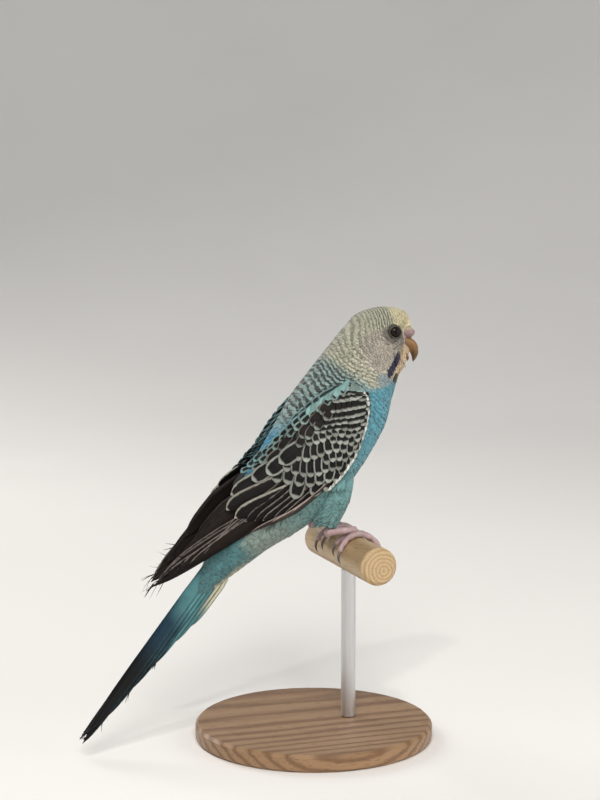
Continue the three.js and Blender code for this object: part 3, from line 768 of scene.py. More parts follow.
rng = np.random.default_rng(11)
u, v = row_seeds(trunk_point, -58.0, CROWN - 0.5, feather_spacing, (0.0, 2 * math.pi), rng)
root, tu, tv, outward, second = surface_frame(trunk_point, u, v, 0.15, 0.02)
along, height, side = in_body(root)
run = way_back(root, outward)
run = unit(run + np.cross(outward, run) * rng.normal(0, 0.08, len(run))[:, None])
spacing = feather_spacing(along)
length = 3.1 * spacing * rng.uniform(0.92, 1.1, len(u))
width = 1.75 * spacing * rng.uniform(0.9, 1.1, len(u))
# A feather stops short of the bare ring round the eye.
for sign in (-1, 1):
    to_eye = eye_place(sign) - root
    ahead = np.sum(to_eye * run, -1)
    off = np.sum(to_eye**2, -1)
    aside = np.sqrt(np.maximum(off - ahead**2 - np.sum(to_eye * outward, -1) ** 2, 0))
    near = (off < 60) & (aside < BARE_RING)
    half_gap = np.sqrt(np.maximum(BARE_RING**2 - aside**2, 0))
    inside = near & (np.abs(ahead) < half_gap)
    shorter = np.minimum(length, np.maximum(ahead - half_gap, 0))
    length = np.where(near & (ahead > 0) & ~inside, shorter, length)
    length = np.where(inside, 0, length)
# None grows through the cere or the bill, or where the wing hides the flank.
cere_middle = face_point(-2.75, 3.5)
off_cere = outside(root, cere_middle, (3.3, 4.6, 2.2))
off_bill = outside(root, face_point(-1.0, -0.6), (3.9, 4.6, 4.3))
round_spine = np.degrees(np.arctan2(height - trunk_section(along)[0], np.abs(side)))
under_wing = (along < 24) & (along > -30) & (np.abs(side) > 5) & (np.abs(round_spine - 16) < 22)
keep = (length > 0.45) & off_cere & off_bill & ~under_wing
depth = coat_depth(along)
for name, where in (
    ("face_feathers", along > 47),
    ("neck_feathers", (along <= 47) & (along > 26)),
    ("breast_feathers", (along <= 26) & (height < 9.5)),
    ("back_feathers", (along <= 26) & (height >= 9.5)),
):
    chosen = np.flatnonzero(keep & where)
    tip_height = -0.10 * depth[chosen] * rng.uniform(0.8, 1.2, len(chosen))
    piece, points, x, y = small_feathers(
        name, root[chosen], (tu[chosen], tv[chosen]), outward[chosen], [part[chosen] for part in second],
        run[chosen], length[chosen], width[chosen], -depth[chosen] - 0.05, tip_height, rng,
    )
    dress(piece, points, x, y, root[chosen], run[chosen], length[chosen], rng)

# Wings: each is a padded arm against the flank, with tiers of vanes rooted in it. The flight feathers lie
# lowest and reach past the rump; coverts lie over them in rows, smaller and smaller towards the shoulder.
# Each vane is dark with a pale rim, and every row hides the roots of the row behind it.
#
# The wing's dorsal and ventral edge, in degrees round the spine from straight aside, at places along it.
WING_EDGES = np.array(
    [
        [-72, 45, -12], [-50, 66, -20], [-30, 72, -16], [-15, 68, -20], [0, 56, -26], [14, 44, -24],
        [28, 30, -8]
    ],
    float
)
ARM_FRONT, ARM_REAR, ARM_THICKNESS = 27.5, -26.0, 2.6


def wing_point(along, across, lift=0.0):
    """A place of the right wing: over the trunk's ellipses, then over a cone that closes above the tail.
    across runs from the dorsal edge, 0, to the ventral edge, 1."""
    trunk_centre, trunk_depth, trunk_width = trunk_section(along)
    reach = np.maximum(along + 80.0, 1.5)
    behind = 1 - smooth(along, -34, -14)
    dorsal, ventral = np.moveaxis(np.radians(read_stations(WING_EDGES, along)), -1, 0)
    centre = mix(trunk_centre, 28 - 0.3 * reach, behind)
    depth = mix(trunk_depth + 0.3, 0.3 * reach, behind)
    width = mix(trunk_width + 0.3, 0.26 * reach, behind)
    angle = mix(dorsal, ventral, across)
    return body_point(along, centre + (depth + lift) * np.sin(angle), -(width + lift) * np.cos(angle))


ARM_MIDDLE, ARM_REACH = (ARM_FRONT + ARM_REAR) / 2, (ARM_FRONT - ARM_REAR) / 2


def arm_lift(along, across):
    """How high the padded arm stands over the flank: crowned outside as sin to the power 0.6, and round in
    plan."""
    turn = np.arcsin(np.clip((along - ARM_MIDDLE) / ARM_REACH, -1, 1))
    plan = np.maximum(np.cos(turn), 1e-3) ** 0.55
    crown = np.sqrt(np.clip(1 - ((0.5 - across) / (0.5 * plan)) ** 2, 0, 1)) ** 0.6
    return 0.05 + ARM_THICKNESS * crown * np.cos(turn) ** 0.7


def arm_point(along_share, across_share):
    """The arm's outer face: the wing's place at the arm's own height. Its shares run 0 to 1 over the arm."""
    turn = (along_share - 0.5) * math.pi
    along = ARM_MIDDLE + ARM_REACH * np.sin(turn)
    plan = np.maximum(np.cos(turn), 0.0) ** 0.55
    across = 0.5 - 0.5 * plan * np.cos(across_share * math.pi)
    return wing_point(along, across, arm_lift(along, across) - 0.25)


def vane_nodes(wire):
    """Dark vane, pale rim whose inner edge is frayed along the barbs, a fine shaft, and barbs that slant back
    from it."""
    ground, mark = wire.colour("ground"), wire.colour("mark")
    vane = wire.stored("vane")
    barb = wire.stored("barb")
    place = wire.place()
    aside = barb.sum("ABSOLUTE", barb)
    strand = ((barb.other(1) - aside * 0.8) * 2.6 + wire.noise(place, 1500, 1.0) * 0.6).wave() * 0.5 + 0.5
    fray = (strand - 0.5) * 0.22 + (wire.noise(place, 700, 2.0) - 0.5) * 0.7
    inside = vane.sum("MINIMUM", vane, vane.other(1)) - vane.other(2) + fray
    dark = inside.between(-0.32, 0.30)
    shaft = 1 - aside.between(0.03, 0.10)
    shade = (strand * 0.5 + wire.noise(place, 420, 2.0) * 0.7 + barb.other(2) * 0.25).between(0.2, 1.1)
    colour = (shaft * dark * 0.12).blend(dark.blend(mark, ground), (0.10, 0.08, 0.065, 1))
    tint = shade.blend((0.72, 0.70, 0.69, 1), (1.18, 1.18, 1.18, 1))
    return {
        "Base Color": colour.times(tint), "Roughness": 0.50 + strand * 0.14, "height": strand + shaft * 1.5
    }


quill = finish("wing feathers", vane_nodes, bump=(0.3, 0.00007), Specular_IOR_Level=0.14)

# A vane's section, aside and up, and the outlines of three kinds of vane: the way along, and the share of the
# full width there.
VANE_RIM = np.array(
    [
        [-1.0, 0.0], [-0.7, 1.0], [-0.35, 1.0], [0.0, 1.3], [0.35, 1.0], [0.7, 1.0], [1.0, 0.0], [0.4, -1.0],
        [-0.4, -1.0]
    ]
)
ROUND_VANE = np.array(
    [
        [0, 0.55], [0.2, 0.8], [0.4, 0.95], [0.58, 1.0], [0.72, 0.98], [0.83, 0.88], [0.91, 0.72],
        [0.97, 0.48], [1.0, 0.22]
    ]
)
BLUNT_VANE = np.array(
    [
        [0, 0.6], [0.25, 0.9], [0.5, 1.0], [0.65, 1.0], [0.78, 1.0], [0.87, 0.97], [0.94, 0.88], [0.985, 0.7],
        [1.0, 0.5]
    ]
)
LONG_VANE = np.array(
    [
        [0, 0.5], [0.15, 0.75], [0.3, 0.92], [0.45, 1.0], [0.6, 1.0], [0.72, 0.97], [0.82, 0.88],
        [0.90, 0.72], [0.95, 0.52], [0.985, 0.3], [1.0, 0.12]
    ]
)

ALL_RIM, NO_RIM = 9.0, 9.0  # a rim as wide as the vane, and so far from the vane's edge that no rim shows
DARK, BROWN, SEPIA = (0.0055, 0.005, 0.0048), (0.013, 0.009, 0.0075), (0.011, 0.008, 0.007)
GREY, CREAM, TEAL, WHITE = (0.27, 0.29, 0.262), (0.42, 0.405, 0.34), (0.20, 0.345, 0.335), (0.58, 0.59, 0.55)
# Rows of coverts, shoulder first. Each has the places of its dark centres, [along, across], from the wing's
# front edge to its back, then: how many, length, width, rim, how much wider the rim is at the tip than at
# the sides, the way the vanes point in degrees from straight back towards the belly, rise, and both colours.
COVERTS = [
    (
        [[26.0, 0.62], [25.4, 0.45], [23.4, 0.30]], 5, 3.6, 2.8, ALL_RIM, 50, 40, 0.40, DARK,
        (0.19, 0.27, 0.25)
    ),
    ([[25.4, 0.74], [24.4, 0.55], [22.4, 0.36], [19.6, 0.24]], 7, 4.2, 2.9, 1.03, 50, 40, 0.42, DARK, GREY),
    ([[24.2, 0.84], [23.8, 0.55], [20.8, 0.40], [17.8, 0.26]], 8, 4.6, 3.3, 0.98, 50, 38, 0.45, DARK, GREY),
    ([[22.4, 0.88], [22.2, 0.67], [18.3, 0.49], [14.4, 0.34]], 9, 4.8, 3.4, 1.03, 50, 38, 0.45, DARK, GREY),
    ([[20.0, 0.90], [20.3, 0.73], [16.2, 0.54], [12.0, 0.38]], 9, 5.0, 3.4, 1.03, 50, 38, 0.5, DARK, GREY),
    ([[17.2, 0.92], [18.2, 0.76], [14.6, 0.58], [9.6, 0.40]], 9, 5.0, 3.4, 1.03, 50, 38, 0.5, DARK, GREY),
    (
        [[14.4, 0.93], [15.8, 0.79], [12.7, 0.61], [8.5, 0.45], [5.6, 0.36]], 9, 5.2, 3.4, 0.98, 50, 36, 0.55,
        DARK, GREY
    ),
    (
        [[11.8, 0.94], [13.2, 0.79], [10.5, 0.64], [8.2, 0.53], [4.0, 0.45], [0.6, 0.38]], 10, 5.8, 3.1, 1.35,
        3.0, 36, 0.6, DARK, GREY
    ),
    ([[9.2, 0.94], [10.3, 0.81], [8.4, 0.68], [6.2, 0.58]], 6, 5.6, 3.1, 1.4, 4.0, 36, 0.6, DARK, GREY),
    (
        [[6.4, 0.94], [7.3, 0.83], [6.0, 0.70], [3.5, 0.62], [0.8, 0.56], [-3.8, 0.49], [-5.6, 0.40]], 9, 6.8,
        3.4, 1.4, 2.8, 32, 0.7, DARK, GREY
    ),
    ([[3.6, 0.94], [4.3, 0.84], [2.7, 0.73], [-0.5, 0.66]], 5, 6.0, 3.1, 1.4, 3.2, 36, 0.65, DARK, GREY),
    (
        [[0.8, 0.94], [0.9, 0.83], [-1.7, 0.74], [-4.6, 0.69], [-7.0, 0.62], [-9.6, 0.54], [-10.4, 0.40]], 9,
        7.6, 3.7, 1.4, 2.6, 30, 0.75, DARK, GREY
    ),
    (
        [
            [-2.4, 0.93], [-4.0, 0.84], [-7.2, 0.77], [-11.0, 0.67], [-13.4, 0.52], [-15.4, 0.40],
            [-14.5, 0.28]
        ],
        8, 9.0, 4.6, 1.45, 2.1, 26, 0.8, DARK, GREY
    ),
    ([[-6.4, 0.93], [-10.6, 0.84], [-15.3, 0.70]], 3, 12.0, 5.6, 1.6, 1.9, 20, 0.5, DARK, GREY),
    # the white leading edge, and the shoulder feathers that lie over the wing's upper border
    (
        [
            [26.4, 0.66], [25.4, 0.78], [23.5, 0.87], [21.2, 0.92], [17.0, 0.96], [13.4, 0.975], [4.8, 0.985],
            [-2.0, 0.985], [-7.0, 0.975]
        ],
        24, 3.6, 1.3, ALL_RIM, 1, 6, 1.0, DARK, WHITE
    ),
    ([[-8.5, 0.32], [-14.0, 0.30], [-19.0, 0.24]], 3, 12.0, 6.0, 1.3, 1.7, 0, 1.6, DARK, GREY),
    (
        [[11.0, 0.32], [5.5, 0.32], [-0.5, 0.30], [-6.0, 0.28]], 5, 7.0, 3.4, 1.1, 3, 14, 0.9, SEPIA,
        (0.20, 0.225, 0.205)
    ),
    (
        [[12.0, 0.24], [7.0, 0.25], [1.6, 0.25], [-6.1, 0.20], [-12.0, 0.2]], 5, 8.5, 4.6, 0.9, 2.0, 6, 1.05,
        SEPIA, (0.16, 0.165, 0.15)
    ),
    (
        [[21.0, 0.22], [15.0, 0.18], [9.0, 0.17], [2.0, 0.14], [-5.0, 0.11], [-11.0, 0.1], [-17.0, 0.1]], 13,
        5.6, 2.9, 1.1, 1.6, 10, 1.1, DARK, (0.20, 0.27, 0.25)
    ),
    (
        [[6.0, 0.08], [-1.0, 0.05], [-8.0, 0.02], [-15.0, 0.0], [-20.0, -0.02]], 10, 6.2, 3.2, 1.0, 1.4, 8,
        1.0, DARK, (0.14, 0.25, 0.26)
    ),
    ([[21.0, 0.20], [16.0, 0.14], [9.0, 0.10]], 8, 7.5, 2.3, ALL_RIM, 1.0, 12, 1.15, DARK, TEAL),
    (
        [[16.0, 0.04], [8.0, 0.02], [0.0, -0.02], [-8.0, -0.03], [-16.0, -0.03]], 12, 7.0, 2.8, 0.9, 2.0, 4,
        0.7, (0.02, 0.03, 0.03), (0.17, 0.28, 0.28)
    ),
]
# Long vanes, lowest first: places and heights of their roots and tips, [along, across, lift], first and last
# vane given, then how many, width, rim, the rim's side factor, how far neighbours tilt, dark and pale colour.
LONG_TIERS = [
    (
        [[-8, 0.44, 0.8], [-8, 0.34, 0.9]], [[-61, 0.46, 0.45], [-50, 0.36, 0.7]], 2, (6.6, 7.0), 0.12, 1.0,
        0.3, BROWN, (0.06, 0.05, 0.045)
    ),
    (
        [[-4, 0.93, 0.9], [-8, 0.80, 1.0], [-10, 0.62, 1.1]],
        [
            [-69.2, 0.60, 0.5], [-68.0, 0.46, 0.7], [-65.0, 0.40, 0.9], [-60.6, 0.60, 1.0],
            [-56.0, 0.68, 1.2], [-50.6, 0.67, 1.4], [-45.3, 0.64, 1.6], [-39.6, 0.58, 1.9]
        ],
        8, (6.0, 3.7), 0.34, 1.0, 0.40, BROWN, (0.265, 0.23, 0.21)
    ),
    (
        [[-2, 0.86, 1.6], [-6, 0.5, 1.9]],
        [[-25, 0.88, 1.7], [-29, 0.80, 1.9], [-33, 0.70, 2.1], [-35, 0.58, 2.3]], 6, (4.6, 4.6), 0.36, 1.1,
        0.35, DARK, (0.27, 0.235, 0.21)
    ),
    (
        [[-14, 0.60, 2.2], [-12, 0.46, 2.3], [-10, 0.30, 2.3]],
        [[-35.2, 0.54, 2.9], [-33.8, 0.38, 3.1], [-29.0, 0.24, 2.9]], 3, (5.6, 7.2), 0.75, 1.1, 0.3, DARK,
        CREAM
    ),
    (
        [[4, 0.955, 1.0], [-2, 0.90, 1.7]], [[-35, 0.86, 1.6], [-26, 0.87, 2.0], [-15, 0.88, 2.2]], 4,
        (2.8, 2.0), 0.45, 1.0, 0.4, (0.05, 0.037, 0.032), (0.34, 0.285, 0.26)
    ),
]


SPREAD_WIDTH, POINTED_WIDTH = 22.0, 21.0  # millimetres across the wing, to space vanes and to point them


def between_rows(places, count):
    """Places evenly spread along a line through the given ones, or the given ones where there are as many."""
    places = np.array(places, float)
    scale = np.ones(places.shape[1])
    scale[1] = SPREAD_WIDTH
    way = np.concatenate([[0], np.cumsum(np.linalg.norm(np.diff(places * scale, axis=0), axis=1))])
    at = way if count == len(places) else np.linspace(0, way[-1], count)
    return np.stack([np.interp(at, way, column) for column in places.T], -1)


VANE_THICKNESS = 0.09


def laid_vanes(root, tip, width, tilt, outline, rng, ragged):
    """Vanes laid from root to tip place, [along, across, lift]: at a share s of the way and x of the half
    width the point is the wing's place at s, plus x along the vane's own across, less a camber of x squared,
    with the ventral edge tilted up over its neighbour."""
    s = outline[:, 0]

    def at(share):
        along, across = (mix(root[:, None, k], tip[:, None, k], share) for k in (0, 1))
        return along, across, mix(root[:, None, 2], tip[:, None, 2], smooth(share, 0, 0.75))

    middle, ahead = wing_point(*at(s[None, :])), wing_point(*at(s[None, :] + 0.01))
    along, across, _ = at(s[None, :])
    du = wing_point(along + 0.05, across) - wing_point(along - 0.05, across)
    dv = wing_point(along, across + 0.005) - wing_point(along, across - 0.005)
    normal, run = unit(np.cross(dv, du)), unit(ahead - middle)
    ventral = np.cross(run, normal)
    lean = tilt[:, None, None]
    sideways = ventral * np.cos(lean) + normal * np.sin(lean)
    upwards = normal * np.cos(lean) - ventral * np.sin(lean)
    aside, lift = VANE_RIM[None, None, :, 0], VANE_RIM[None, None, :, 1]
    half = 0.5 * width[:, None] * outline[None, :, 1]
    x = half[..., None] * aside
    length = np.linalg.norm(middle[:, -1] - middle[:, 0], axis=-1)
    ends = smooth(s, 0.75, 1.0)[None, :, None]
    frayed = rng.uniform(-ragged, ragged, (len(root), 1, len(VANE_RIM))) - 0.02 * aside**2
    slip = length[:, None, None] * ends * frayed
    z = -0.034 * x**2 + VANE_THICKNESS * lift * (1 - 0.5 * ends)
    points = middle[:, :, None] + sum(
        part[..., None] * way[:, :, None] for part, way in ((x, sideways), (z, upwards), (slip, run))
    )
    return points, x, length[:, None, None] * s[None, :, None] + slip, half, length


def vane_sheet(name, groups):
    """One piece of many vanes. Each group holds its points, its faces, the values that the finish reads and
    its places on the bake map."""
    starts = np.cumsum([0] + [group["points"][..., 0].size for group in groups])
    faces = [part + start for group, start in zip(groups, starts) for part in group["faces"]]
    flat = {
        key: np.concatenate([group[key].reshape(-1, group[key].shape[-1]) for group in groups])
        for key in ("points", "ground", "mark", "vane", "barb", "patch")
    }
    sheet = mesh_of(name, flat.pop("points"), faces)
    places = flat.pop("patch")
    give(sheet, **flat)
    bake_map(sheet, places)
    sheet.data.materials.append(quill)
    return sheet


ARM_ROWS, ARM_COLUMNS = 40, 30
ARM_DARK = (0.03, 0.04, 0.04)


def arm_shell():
    """The arm as the face outside, the same places drawn in to the flank, and a wall between their edges:
    points, faces, and both shares over one face."""
    along_share, across_share = grid(np.linspace(0.02, 0.98, ARM_ROWS), np.linspace(0.0, 1.0, ARM_COLUMNS))
    outer = arm_point(along_share, across_share)
    along, height, side = in_body(outer)
    centre, depth, width = trunk_section(along)
    scale = np.hypot((height - centre) / (depth - 0.6), side / (width - 0.6))
    inner = body_point(along, centre + (height - centre) / scale, side / scale)
    face = net(ARM_ROWS, ARM_COLUMNS, closed=False)
    n = outer[..., 0].size
    i = np.arange(n).reshape(ARM_ROWS, ARM_COLUMNS)
    edge = np.concatenate([i[:, 0], i[-1, 1:], i[-2::-1, -1], i[0, -2:0:-1]])
    after = np.roll(edge, -1)
    wall = np.stack([edge, edge + n, after + n, after], -1)
    points = np.concatenate([outer.reshape(-1, 3), inner.reshape(-1, 3)])
    return points, [face, face[:, ::-1] + n, wall[:, ::-1]], along_share.ravel(), across_share.ravel()


def covert_row(rng, places, count, length, width, rim, side_factor, pointing, rise, dark, pale):
    """A row of short vanes. Each lies through its place, a fifth of its length behind it, along the way that
    it points."""
    centre = between_rows(places, count)
    centre += rng.normal(0, 0.12, centre.shape) * [1, 0.03]
    heading = np.radians(pointing + rng.normal(0, 3, count))
    size = length * rng.uniform(0.95, 1.05, count)
    back = np.stack([-np.cos(heading), np.sin(heading) / POINTED_WIDTH], -1)
    tip, root = centre + back * (0.20 * size)[:, None], centre - back * (0.80 * size)[:, None]
    tip[:, 1], root[:, 1] = np.clip(tip[:, 1], -0.04, 0.99), np.clip(root[:, 1], -0.04, 0.97)
    root[:, 0] = np.minimum(root[:, 0], ARM_FRONT - 0.8)
    tip_lift = np.maximum(arm_lift(tip[:, 0], tip[:, 1]), 2.2 * smooth(-tip[:, 0], 8, 16)) + rise
    tip = np.column_stack([tip, tip_lift])
    root = np.column_stack([root, arm_lift(root[:, 0], root[:, 1]) - 0.15])
    outline = BLUNT_VANE if side_factor > 9 else ROUND_VANE
    widths, tilt = width * rng.uniform(0.95, 1.06, count), np.full(count, 0.10)
    return root, tip, widths, tilt, outline, rim, side_factor, dark, pale, False


def long_tier(rng, roots, tips, count, width, rim, side_factor, tilt, dark, pale):
    """A tier of long vanes from evenly spread roots to evenly spread tips."""
    root, tip = between_rows(roots, count), between_rows(tips, count)
    tip += rng.normal(0, 0.3, tip.shape) * [1, 0.01, 0.1]
    widths, tilt = np.linspace(*width, count), np.full(count, tilt)
    return root, tip, widths, tilt, LONG_VANE, rim, side_factor, dark, pale, True


MAP_CELLS = 16


def row_of_vanes(rng, cell, root, tip, width, tilt, outline, rim, side_factor, dark, pale, long):
    """One row's points and faces, its values for the finish, and a cell of the bake map for each vane. A long
    vane has its rim on the ventral edge alone."""
    count = len(root)
    points, x, y, half, length = laid_vanes(root, tip, width, tilt, outline, rng, 0.008 if long else 0.012)
    half = half[..., None]
    edge = np.where(x > 0, half - x, NO_RIM) if long else half - np.abs(x)
    cast = rng.uniform(-1, 1, count)[:, None, None] * np.ones_like(x)
    tone = 1 + 0.12 * cast[..., None]
    index = (cell + np.arange(count))[:, None, None]
    column = index % MAP_CELLS + 0.5 + 0.42 * x / np.maximum(half, 1e-3) * outline[None, :, 1, None]
    row = index // MAP_CELLS + 0.06 + 0.88 * outline[None, :, 0, None]
    return {
        "points": points,
        "faces": repeated(closed_ends(len(outline), len(VANE_RIM)), count, len(outline) * len(VANE_RIM)),
        "ground": np.array(dark) * tone,
        "mark": np.clip(np.array(pale) * tone, 0, 1),
        "vane": three(edge * side_factor, length[:, None, None] - y, rim),
        "barb": three(x, y, cast),
        "patch": np.stack(np.broadcast_arrays(column, row), -1) / MAP_CELLS,
    }


def wing(name, rng, mirror):
    """The arm and all the vanes of one wing as two pieces; the left one is the right one's mirror image with
    its own small differences."""
    shell, faces, along_share, across_share = arm_shell()
    n = len(along_share)
    if mirror:
        shell, faces = mirrored(shell), turned_over(faces)
    arm = mesh_of("wing_arm_" + name, shell, faces)
    plain = {"ground": ARM_DARK, "mark": GREY, "vane": (NO_RIM, NO_RIM, 0.2), "barb": (0.0, 0.0, 0.0)}
    give(arm, **{key: np.tile(value, (2 * n, 1)) for key, value in plain.items()})
    across_map = 0.02 + 0.46 * np.tile(across_share, 2) + np.repeat([0.0, 0.5], n)
    bake_map(arm, np.stack([across_map, 0.02 + 0.96 * np.tile(along_share, 2)], -1))
    arm.data.materials.append(quill)
    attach(arm, "root")
    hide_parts("wing_" + name)
    rows = [covert_row(rng, *row) for row in COVERTS] + [long_tier(rng, *tier) for tier in LONG_TIERS]
    cells = np.cumsum([0] + [len(row[0]) for row in rows])
    groups = [row_of_vanes(rng, cell, *row) for cell, row in zip(cells, rows)]
    if mirror:
        for group in groups:
            group["points"], group["faces"] = mirrored(group["points"]), turned_over(group["faces"])
    sheet = vane_sheet("wing_vanes_" + name, groups)
    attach(sheet, "root")


wing("right", np.random.default_rng(21), False)
wing("left", np.random.default_rng(22), True)

# Tail: twelve narrow vanes in steps, the middle pair longest and on top, each next pair shorter, lower and
# further out. They are turquoise at the root, then navy, then black; the outer ones have a cream patch.
# The vane ends are worn, so single barbs stand off them.
#
# Where the vanes start and end along the spine, the way outwards and the way under as side and height, and a
# vane's outline.
TAIL_ROOT, TAIL_TIPS = -52.0, np.array([-126.0, -116.0, -105.0, -94.0, -84.0, -74.0])
TAIL_OUT, TAIL_IN = (
    np.array([math.cos(PITCH), -math.sin(PITCH)]), np.array([-math.sin(PITCH), -math.cos(PITCH)])
)
TAIL_VANE = np.array([
    [0, 0.8], [0.08, 0.9], [0.16, 1.0], [0.24, 1.0], [0.32, 1.0], [0.4, 1.0], [0.48, 1.0], [0.56, 1.0],
    [0.64, 0.97], [0.72, 0.93], [0.79, 0.86], [0.85, 0.76], [0.90, 0.64], [0.94, 0.5], [0.97, 0.34],
    [0.99, 0.18], [1.0, 0.08],
])
PAIRS, TAIL_HALF = 6, 2.45
TAIL_NAVY, TAIL_BLACK, TAIL_CREAM = (0.012, 0.036, 0.058), (0.006, 0.0065, 0.007), (0.52, 0.49, 0.36)
RIM_TEAL, RIM_NAVY = (0.10, 0.21, 0.22), (0.024, 0.042, 0.050)
BARB_BLACK, BARB_BROWN = (0.010, 0.008, 0.007), (0.03, 0.024, 0.02)


def tail_line(rank, along):
    """Side and height of a right vane's middle: 2.45 mm and 0.95 more for each rank outwards, 0.85 lower for
    each rank, all a fifth narrower at the longest tip."""
    narrowing = mix(1.0, 0.8, (along - TAIL_ROOT) / (TAIL_TIPS[0] - TAIL_ROOT))
    share = (along - TAIL_ROOT) / (TAIL_TIPS[rank] - TAIL_ROOT)
    outwards, under = (2.45 + 0.95 * rank) * narrowing, 0.85 * rank
    apart = 0.1 + np.where(rank == 0, 0.9 * smooth(share, 0.75, 1.0), 0.35)
    side = apart + outwards * TAIL_OUT[0] + under * TAIL_IN[0] * narrowing
    height = 15.8 + 0.045 * (along - TAIL_ROOT) + outwards * TAIL_OUT[1] + under * TAIL_IN[1]
    return np.maximum(side, 0.4), height


BARB_STEPS = 7
BARB_SECTION = np.array([[-1.0, 0.0], [0.0, 1.0], [1.0, 0.0], [0.0, -1.0]])
BARB_POINTS = BARB_STEPS * len(BARB_SECTION)


def loose_barbs(root, way, droop, length, width):
    """Thin hooked slivers: at a share s a sliver's middle is root + length*s*way + length*s*s*droop, and it
    narrows as the square root of 1 - s."""
    s = np.linspace(0, 1, BARB_STEPS)[None, :, None]
    middle = root[:, None] + length[:, None, None] * (s * way[:, None] + s**2 * droop[:, None])
    aside = unit(np.cross(way, droop + np.array([0.0, 0.31, 0.02])))[:, None, None]
    upward = unit(np.cross(aside[:, 0, 0], way))[:, None, None]
    across, lift = BARB_SECTION[None, None, :, 0, None], BARB_SECTION[None, None, :, 1, None]
    size = (0.5 * width[:, None] * np.sqrt(1.02 - s[..., 0]))[..., None, None]
    points = middle[:, :, None] + size * (across * aside + 0.35 * lift * upward)
    return points, repeated(closed_ends(BARB_STEPS, len(BARB_SECTION)), len(root), BARB_POINTS)


rng = np.random.default_rng(31)
groups, barb_roots, barb_ways = [], [], []
rows, columns = len(TAIL_VANE), len(VANE_RIM)
rank = np.arange(PAIRS)[:, None, None]
share = TAIL_VANE[None, :, 0, None]
ends = smooth(share, 0.8, 1.0)
for sign in (-1, 1):
    reach = TAIL_TIPS[rank] - TAIL_ROOT + rng.uniform(0.0, 3.0, (PAIRS, 1, 1)) * (rank > 0)
    slip = 0.03 * reach * ends * rng.uniform(-1.0, 0.0, (PAIRS, 1, columns))
    along = TAIL_ROOT + reach * share + slip
    half = TAIL_HALF * TAIL_VANE[None, :, 1, None] * np.ones((PAIRS, 1, 1))
    across = half * VANE_RIM[None, None, :, 0]
    through = 0.12 * VANE_RIM[None, None, :, 1] * (1 - 0.6 * ends) - 0.03 * across**2
    side, height = tail_line(np.broadcast_to(rank, along.shape), along)
    side = side + across * TAIL_OUT[0] - through * TAIL_IN[0]
    height = height + across * TAIL_OUT[1] - through * TAIL_IN[1]
    vanes = body_point(along, height, -side)
    faces = repeated(closed_ends(rows, columns), PAIRS, rows * columns)
    cast = rng.uniform(-1, 1, (PAIRS, 1, 1)) * np.ones_like(along)
    slanted = along + 0.9 * across
    dark = np.where(rank < 3, 1 - smooth(slanted, -75, -66), 1 - smooth(slanted, -86, -77))
    black = np.where(rank < 3, 1 - smooth(along, -96, -78), dark * 0.4)
    colour = np.broadcast_to(np.array(TAIL_TEAL), vanes.shape)
    colour = mix(colour, np.array(TAIL_NAVY), dark[..., None])
    colour = mix(colour, np.array(TAIL_BLACK), black[..., None])
    cream = np.where(rank > 3, smooth(across, 0.2, 1.0) * smooth(along, -70, -60), 0)
    colour = mix(colour, np.array(TAIL_CREAM), cream[..., None])
    cell = rank + (PAIRS if sign > 0 else 0)
    across_map = (cell + 0.5 + 0.42 * across / TAIL_HALF) / (2 * PAIRS)
    groups.append({
        "points": mirrored(vanes) if sign > 0 else vanes,
        "faces": faces if sign > 0 else turned_over(faces),
        "ground": colour * (1 + 0.1 * cast[..., None]),
        "mark": mix(np.array(RIM_TEAL), np.array(RIM_NAVY), np.maximum(black, 0.7 * dark)[..., None]),
        "vane": three(half - across, NO_RIM, np.where(rank < 3, 0.34, 0.14)),
        "barb": three(across, -along, cast),
        "patch": np.stack(np.broadcast_arrays(across_map, 0.02 + 0.95 * share), -1),
    })
    for which, count, spread in ((0, 12, 0.30), (1, 7, 0.20), (2, 5, 0.18), (3, 4, 0.15)):
        at = vanes[which, rng.integers(rows - 5, rows - 1, count), rng.integers(0, 7, count)]
        barb_roots.append(mirrored(at) if sign > 0 else at)
        barb_ways.append(unit(-SPINE + rng.normal(0, spread, (count, 3)) * [1, 1.4, 1]))
tail = vane_sheet("tail_vanes", groups)
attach(tail, "root")
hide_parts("tail")

WING_TIP_BARBS = 24
for sign in (-1, 1):
    tips = wing_point(rng.uniform(-69, -52, WING_TIP_BARBS), rng.uniform(0.36, 0.62, WING_TIP_BARBS), 1.0)
    barb_roots.append(mirrored(tips) if sign > 0 else tips)
    spread = rng.normal(0, 0.30, (WING_TIP_BARBS, 3)) * [0.5, 0.7, 1]
    barb_ways.append(unit(np.array([-0.80, 0.0, -0.5]) + spread))
barb_roots, barb_ways = np.concatenate(barb_roots), np.concatenate(barb_ways)
count = len(barb_roots)
# A barb ends before x = -83.3, short of the end of the solids.
length = np.minimum(rng.uniform(2.0, 6.4, count), (barb_roots[:, 0] + 83.3) / 1.1)
droop = rng.normal(0, 0.22, (count, 3))
points, faces = loose_barbs(
    barb_roots, barb_ways, droop, np.maximum(length, 0.3), rng.uniform(0.26, 0.70, count)
)
which = np.repeat(np.arange(count), BARB_POINTS)
map_u = (which % 12 + np.tile(np.arange(4) / 5, count * BARB_STEPS)) / 12
map_v = (which // 12 + np.tile(np.repeat(np.arange(BARB_STEPS) / 8, 4), count)) / (count // 12 + 1)
frayed = vane_sheet("worn_ends", [{
    "points": points,
    "faces": faces,
    "ground": np.tile(BARB_BLACK, (len(which), 1)),
    "mark": np.tile(BARB_BROWN, (len(which), 1)),
    "vane": np.tile([NO_RIM, NO_RIM, 0.0], (len(which), 1)),
    "barb": three(0.2, which * 0.37, 0.0),
    "patch": np.stack([map_u, map_v], -1),
}])
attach(frayed, "root")

# Thighs: short soft feathers wrap each thigh down to the heel, and longer, looser ones hang over its back and
# outside, so that the leg comes out of a fluffy hem.
THIGH_LENGTH = 25.0


